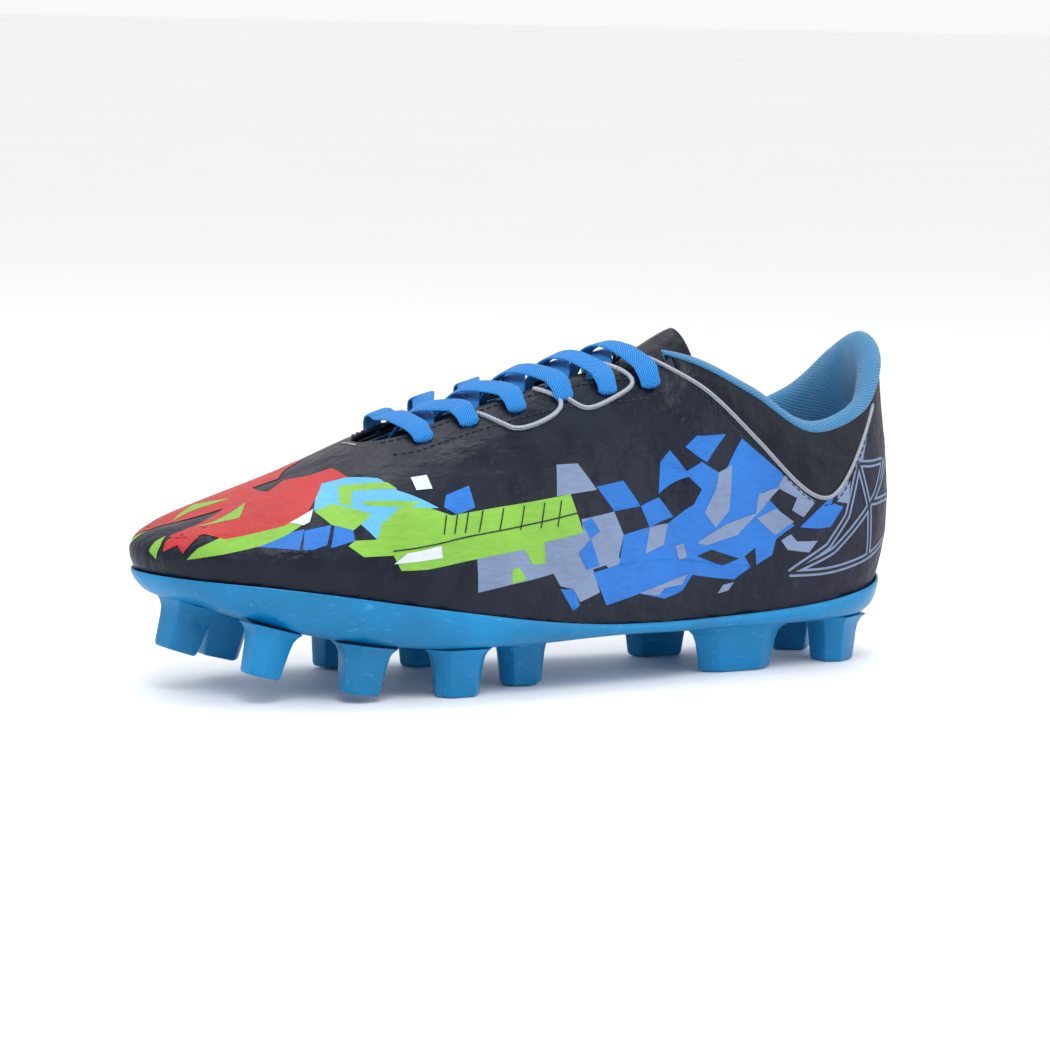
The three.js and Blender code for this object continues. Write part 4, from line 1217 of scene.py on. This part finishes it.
# The printed pattern: each corner is a rib number (toe 0, heel 15) and a height in per cent of the rib, for
# the lateral side, and is mirrored for the medial side. The corners follow the print in the photograph. They
# were read off it by eye, and a separate script turned them into ribs and heights.
PRINT = {
    "lavender": [
        [(7.5, 50), (7.8, 49), (8, 40), (7.4, 40)],
        [(6.1, 8), (6.1, 22), (7.1, 27), (7.7, 28), (7.7, 32), (8.2, 33), (8.3, 26), (8.2, 20), (8.3, 17),
         (8.2, 13), (8, 18), (7.8, 17), (7.9, 10), (7.6, 7), (7.5, 11), (7.3, 12), (7.2, 16), (6.6, 12)],
        [(12.4, 67), (12.6, 65), (12.5, 53), (12.3, 56)],
        [(11.3, 35), (11.4, 32), (11.8, 34), (11.6, 27), (11.2, 27), (11.1, 31)],
        [(10, 11), (10.2, 12), (10.1, 9), (9.9, 8)],
        [(12.95, 85), (13.15, 88), (12.8, 66), (12.6, 62)],
    ],
    "azure": [
        [(10.7, 74), (11.4, 66), (11.2, 57), (10.9, 52), (11.1, 47), (11.4, 40), (11, 31), (10.9, 24),
         (10.6, 19), (10.6, 26), (10.4, 22), (10.5, 18), (10.2, 13), (9.4, 14), (9.2, 9), (8.9, 7), (8.5, 9),
         (8, 6), (7.8, 16), (8.2, 18), (8.3, 26), (9, 28), (9.2, 31), (9.5, 36), (9.7, 43), (9.4, 45),
         (9.8, 54), (10.2, 53)],
        [(9.5, 55), (9.8, 64), (10.4, 72), (9.9, 55)],
        [(8.9, 36), (9, 45), (9.2, 50), (9.5, 45)],
        [(8, 41), (8.4, 41), (8.6, 33), (8.2, 33)],
        [(8.6, 33), (8.9, 35), (9.1, 30), (8.7, 27)],
        [(7.3, 11), (7.5, 11), (7.6, 6), (7.5, 4)],
        [(12.3, 62), (12.2, 56), (12.4, 52), (12.1, 42), (11.5, 40), (11.9, 52), (12.1, 57)],
        [(5.8, 47), (6.2, 49), (6.2, 40), (5.9, 38), (5.7, 42)],
        [(2.7, 29), (3, 37), (3.5, 40), (3.4, 25)],
        [(3.5, 39), (3.9, 41), (3.8, 28), (3.6, 25), (3.45, 25)],
        [(3.95, 41), (4.2, 41), (4.2, 30), (3.85, 26)],
    ],
    "sky": [
        [(3.7, 54), (3.9, 76), (4.4, 72), (4.8, 64), (5, 54), (5.6, 42), (4.9, 44), (4.6, 36), (4.5, 30),
         (4.3, 40), (4.2, 49)],
    ],
    "lime": [
        [(7.6, 40), (6.5, 39), (5.8, 38), (5.4, 43), (4.9, 45), (4.6, 38), (4.5, 30), (4.2, 30), (4.1, 27),
         (4.3, 21), (4.7, 22), (4.8, 15), (5.2, 16), (5.8, 19), (6.4, 22), (6.8, 24), (6.9, 19), (7.1, 19),
         (7.1, 26), (7.7, 28)],
        [(3.7, 53), (4, 56), (4.5, 44), (4.2, 36), (3.9, 41)],
        [(4.1, 55), (4.2, 68), (4.9, 60), (5, 55), (4.35, 61), (4.25, 51)],
        [(4.4, 53), (5.3, 46), (5.1, 44), (4.5, 49)],
        [(1.5, 18), (1.7, 31), (2.1, 42), (2.8, 46), (3.4, 48), (3.5, 44), (3.2, 36), (2.8, 29), (2.2, 23)],
        [(0.5, 26), (0.5, 42), (0.6, 53), (0.75, 35), (0.75, 17)],
        [(6.6, 17), (6.7, 18), (6.8, 14), (6.6, 12)],
    ],
    "red": [
        [(3.9, 88), (4.3, 85), (4.4, 72), (4, 75), (3.6, 53), (3.2, 45), (2.2, 39), (1.7, 51), (1.1, 46),
         (0.7, 52), (1, 74), (1.5, 100), (2.9, 100), (3.1, 91), (3.5, 97)],
        [(0.9, 27), (0.8, 44), (1, 61), (1.6, 67), (1.6, 47), (1.4, 25), (1.2, 37)],
    ],
}
OVERPRINT = {
    "lavender": [
        [(10.4, 59), (10.2, 39), (9.9, 31), (9.7, 35), (10, 46), (10.1, 53)],
        [(11.4, 62), (11.2, 57), (10.8, 50), (10.7, 41), (10.1, 33), (9.5, 24), (9.7, 24), (10.3, 30),
         (10.8, 43)],
        [(11.1, 46), (11.4, 42), (11, 33), (10.7, 39)],
        [(11.4, 66), (11.9, 57), (11.6, 46), (11.4, 48), (11.55, 56), (11.2, 57)],
        [(8.7, 27), (9, 28), (8.9, 22), (8.6, 20)],
        [(8.5, 9), (9.3, 14), (9.2, 11), (8.9, 10), (8.8, 8)],
        [(9.1, 22), (9.25, 23), (9.3, 19), (9.15, 18)],
    ],
    "dark": [
        [(9.5, 20), (9.8, 23), (10.3, 21), (10, 18)],
    ],
    "lime": [
        [(1.2, 70), (1.8, 74), (2.5, 90), (2.4, 66)],
    ],
    "azure": [
        [(7.6, 22), (7.8, 26), (7.9, 18), (7.7, 17)],
        [(7.7, 31), (7.85, 32), (7.95, 28), (7.8, 26)],
    ],
    "white": [
        [(5.3, 59), (5.6, 58), (5.6, 51), (5.3, 52)],
        [(4.7, 18), (4.9, 23), (5.5, 26), (5.5, 21)],
        [(3.3, 47), (3.7, 55), (3.6, 45), (3.5, 43)],
    ],
}
BAND_LINES = [[(4.7, 24), (5.5, 27), (6, 29), (6.9, 32), (7.65, 34)]]
BAND_LINES += [[(rib, 38.5), (rib - 0.12, 30.5)] for rib in (5.7, 5.9, 6.08, 6.3, 6.6, 6.9, 7.2, 7.45)]
HEEL_WEB = [
    [(11.2, 16), (12, 17), (12.8, 18), (13.8, 21), (15, 24)],
    [(11.2, 16), (12, 31), (12.45, 46), (12.8, 72)],
    [(11.2, 16), (12.1, 28), (12.65, 40), (13.05, 48), (14, 60), (15, 68)],
    [(12.8, 72), (12.95, 45), (12.9, 18)],
    [(12.8, 72), (13.6, 60), (13.05, 47)],
    [(13.05, 47), (13.9, 38), (15, 36)],
]


def mirrored(paths):
    """Paths in ring coordinates and v, for the lateral side and its mirror image."""
    return [[(side * rib, percent / 100) for rib, percent in path] for side in (-1, 1) for path in paths]


def film(name, outlines, ink, lift):
    """Ink patches lying on the skin, cut into small facets so that they follow it."""
    work = bmesh.new()
    for outline in mirrored(outlines):
        corners = [Vector((k, v, 0)) for k, v in outline]
        points = [work.verts.new(corner) for corner in corners]
        for triangle in tessellate_polygon([corners]):
            work.faces.new([points[i] for i in triangle])
    for axis, step in ((Vector((1, 0, 0)), 0.1), (Vector((0, 1, 0)), 0.03)):
        places = [vertex.co.dot(axis) for vertex in work.verts]
        for cut in np.arange(math.ceil(min(places) / step), max(places) / step) * step:
            parts = work.verts[:] + work.edges[:] + work.faces[:]
            bmesh.ops.bisect_plane(work, geom=parts, plane_co=axis * float(cut), plane_no=axis)
    work.verts.ensure_lookup_table()
    flat = np.array([vertex.co for vertex in work.verts])
    placed = layered(flat[:, 0], flat[:, 1], -lift)
    for vertex, point in zip(work.verts, placed):
        vertex.co = point
    mesh = bpy.data.meshes.new(name)
    work.to_mesh(mesh)
    work.free()
    thing = bpy.data.objects.new(name, mesh)
    bpy.context.scene.collection.objects.link(thing)
    mesh.materials.append(INKS[ink])
    turn_outwards(thing)
    mesh.shade_smooth()
    dress(thing, "synthetic_upper", bends=True)


def turn_outwards(thing):
    """Flips the faces of an open skin piece that look towards the middle of the shoe."""
    work = bmesh.new()
    work.from_mesh(thing.data)
    inner = [face for face in work.faces if face.normal.dot(outward(face.calc_center_median())) < 0]
    bmesh.ops.reverse_faces(work, faces=inner)
    work.to_mesh(thing.data)
    work.free()


def outward(point):
    """The direction to a point of the skin from a core line inside the shoe."""
    core_front, core_back, core_height = -0.09, 0.11, 0.045
    return point - Vector((min(max(point.x, core_front), core_back), 0, core_height))


def skin_path(path, spacing=1 * MM):
    """Ring coordinates and v of evenly spaced samples along a path on the skin."""
    ks, vs = np.array(path, float).T
    fine = np.linspace(0, len(path) - 1, 40 * len(path))
    k, v = np.interp(fine, range(len(path)), ks), np.interp(fine, range(len(path)), vs)
    along = arc_lengths(skin(k, v))
    even = np.linspace(0, along[-1], max(int(along[-1] / spacing), 3))
    return np.interp(even, along, k), np.interp(even, along, v)


def strokes(name, paths, width, material, lift):
    """Thin printed lines of one width along paths on the skin."""
    points, faces = [], []
    for path in paths:
        k, v = skin_path(path)
        middle = layered(k, v, -lift)
        side = unit(np.cross(skin_normal(k, v), np.gradient(middle, axis=0)))
        first = len(points)
        for offset in (-0.5, 0.5):
            points += list(middle + side * width * offset)
        count = len(middle)
        for i in range(first, first + count - 1):
            faces.append((i, i + 1, i + count + 1, i + count))
    thing = add_object(name, points, faces, material)
    turn_outwards(thing)
    dress(thing, "synthetic_upper", bends=True)


def make_prints():
    for layer, (patches, lift) in enumerate(((PRINT, 0.1 * MM), (OVERPRINT, 0.22 * MM))):
        for order, (ink, outlines) in enumerate(patches.items()):
            film(f"print_{layer}_{ink}", outlines, ink, lift + order * 0.02 * MM)
    strokes("print_band_lines", mirrored(BAND_LINES), 0.45 * MM, INKS["dark"], 0.36 * MM)
    web = mirrored(HEEL_WEB)
    strokes("print_heel_web", web, 2.7 * MM, INKS["lavender"], 0.1 * MM)
    strokes("print_heel_web_gap", web, 1.0 * MM, INKS["dark"], 0.16 * MM)


def rounded(path, times=3):
    """Cuts a path's corners so that it turns smoothly; its ends stay."""
    points = np.array(path, float)
    for _ in range(times):
        early, late = 0.75 * points[:-1] + 0.25 * points[1:], 0.25 * points[:-1] + 0.75 * points[1:]
        middle = np.stack([early, late], axis=1).reshape(-1, 2)
        points = np.vstack([points[:1], middle[1:-1], points[-1:]])
    return points


def make_piping():
    """Raised cords: two U shapes beside the lace on each side, and one under each collar panel."""
    lobes = [
        [(6.75, 80), (6.95, 71), (7.15, 65), (7.75, 67), (7.9, 73), (7.6, 82)],
        [(7.85, 79), (8.0, 70), (8.2, 65), (8.8, 68), (8.95, 74), (8.6, 83)],
    ]
    cords = []
    for path in mirrored(lobes):
        k, v = skin_path(rounded(path), 0.8 * MM)
        cords.append(tube("piping", layered(k, v, -0.35 * MM), 0.85 * MM, PIPING))
    for side in (-1, 1):
        k = side * np.linspace(9.1, 13.32, 130)
        drop = panel_drop(rib_index(k)) + 0.3 * MM
        cords.append(tube("piping", layered(k, v_below_top(k, drop), -0.3 * MM), 0.75 * MM, PIPING))
    piping = join("piping", cords)
    dress(piping, "synthetic_upper")


STITCH_LIFT = 0.15 * MM
STITCH_RADIUS = 0.26 * MM


def stitches(name, path, material, pitch=2.6 * MM, length=1.7 * MM):
    """A row of separate thread stitches along a path of ring coordinates and v."""
    k, v = skin_path(path, pitch)
    places = layered(k, v, -STITCH_LIFT)
    halves = unit(np.gradient(places, axis=0)) * length / 2
    threads = [
        tube("stitch", np.linspace(place - half, place + half, 4), STITCH_RADIUS, material, sides=6)
        for place, half in zip(places, halves)
    ]
    return join(name, threads)


def make_stitching():
    """Thread rows beside the throat and below the collar's piping, and two bar tacks."""
    rows = []
    for side in (-1, 1):
        for inset in (2.2 * MM, 11.5 * MM):
            k = side * np.linspace(5.3, 9.3, 60)
            v = throat_v(k) - inset / rib_length(k)
            rows.append(stitches("row", list(zip(k, v)), THREAD))
        k = side * np.linspace(9.8, 13.2, 60)
        v = v_below_top(k, panel_drop(rib_index(k)) + 3 * MM)
        rows.append(stitches("row", list(zip(k, v)), THREAD))
    dress(join("thread", rows), "synthetic_upper", bends=True)
    tacks = [
        stitches("tack", [(k, 0.955), (k + 0.02, 0.985)], WHITE_THREAD, 1.4 * MM, 1.9 * MM)
        for k in (-4.93, 4.9)
    ]
    dress(join("bar_tacks", tacks), "synthetic_upper", bends=True)


# ---- inner pieces kept from the CAD part, and the set ----------------------------------------

def dress_inner_nodes():
    kept = {
        BOARD: ["insole_board_forefoot", "insole_board_rearfoot"],
        FOAM: ["collar_foam"],
        STIFFENER: ["toe_puff", "heel_counter"],
        EYESTAY: ["eyestay_lateral", "eyestay_medial"],
    }
    for material, nodes in kept.items():
        for node in nodes:
            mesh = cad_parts[node].data
            mesh.materials.clear()
            mesh.materials.append(material)


def make_set():
    """A pale floor and soft lights, as on a white studio table."""
    reach = 30
    corners = [(-reach, -reach, 0), (reach, -reach, 0), (reach, reach, 0), (-reach, reach, 0)]
    floor = add_object("floor", corners, [(0, 1, 2, 3)], make_floor())
    lights = {  # place, power in watts, size
        "key": ((-0.45, -0.8, 1.1), 9, 0.6),
        "fill": ((0.9, -0.8, 0.5), 3, 0.9),
        "top": ((0.1, 0.35, 1.3), 6, 0.9),
    }
    for name, (place, power, size) in lights.items():
        light = bpy.data.objects.new(name, bpy.data.lights.new(name, "AREA"))
        light.data.energy = power
        light.data.size = size
        light.location = place
        light.rotation_euler = (Vector(place) - Vector((0, 0, 0.05))).to_track_quat("Z", "Y").to_euler()
        bpy.context.scene.collection.objects.link(light)
    world = bpy.data.worlds.new("studio")
    world.use_nodes = True
    background = world.node_tree.nodes["Background"]
    background.inputs["Color"].default_value = (1, 1, 1, 1)
    background.inputs["Strength"].default_value = 0.95
    bpy.context.scene.world = world
    bpy.context.scene.view_settings.view_transform = "Standard"


make_outsole()
make_sock_liner()
make_upper()
make_lining()
make_collar()
for side in (-1, 1):
    make_collar_panel(side)
make_tongue()
make_lace()
make_prints()
make_piping()
make_stitching()
dress_inner_nodes()
make_set()
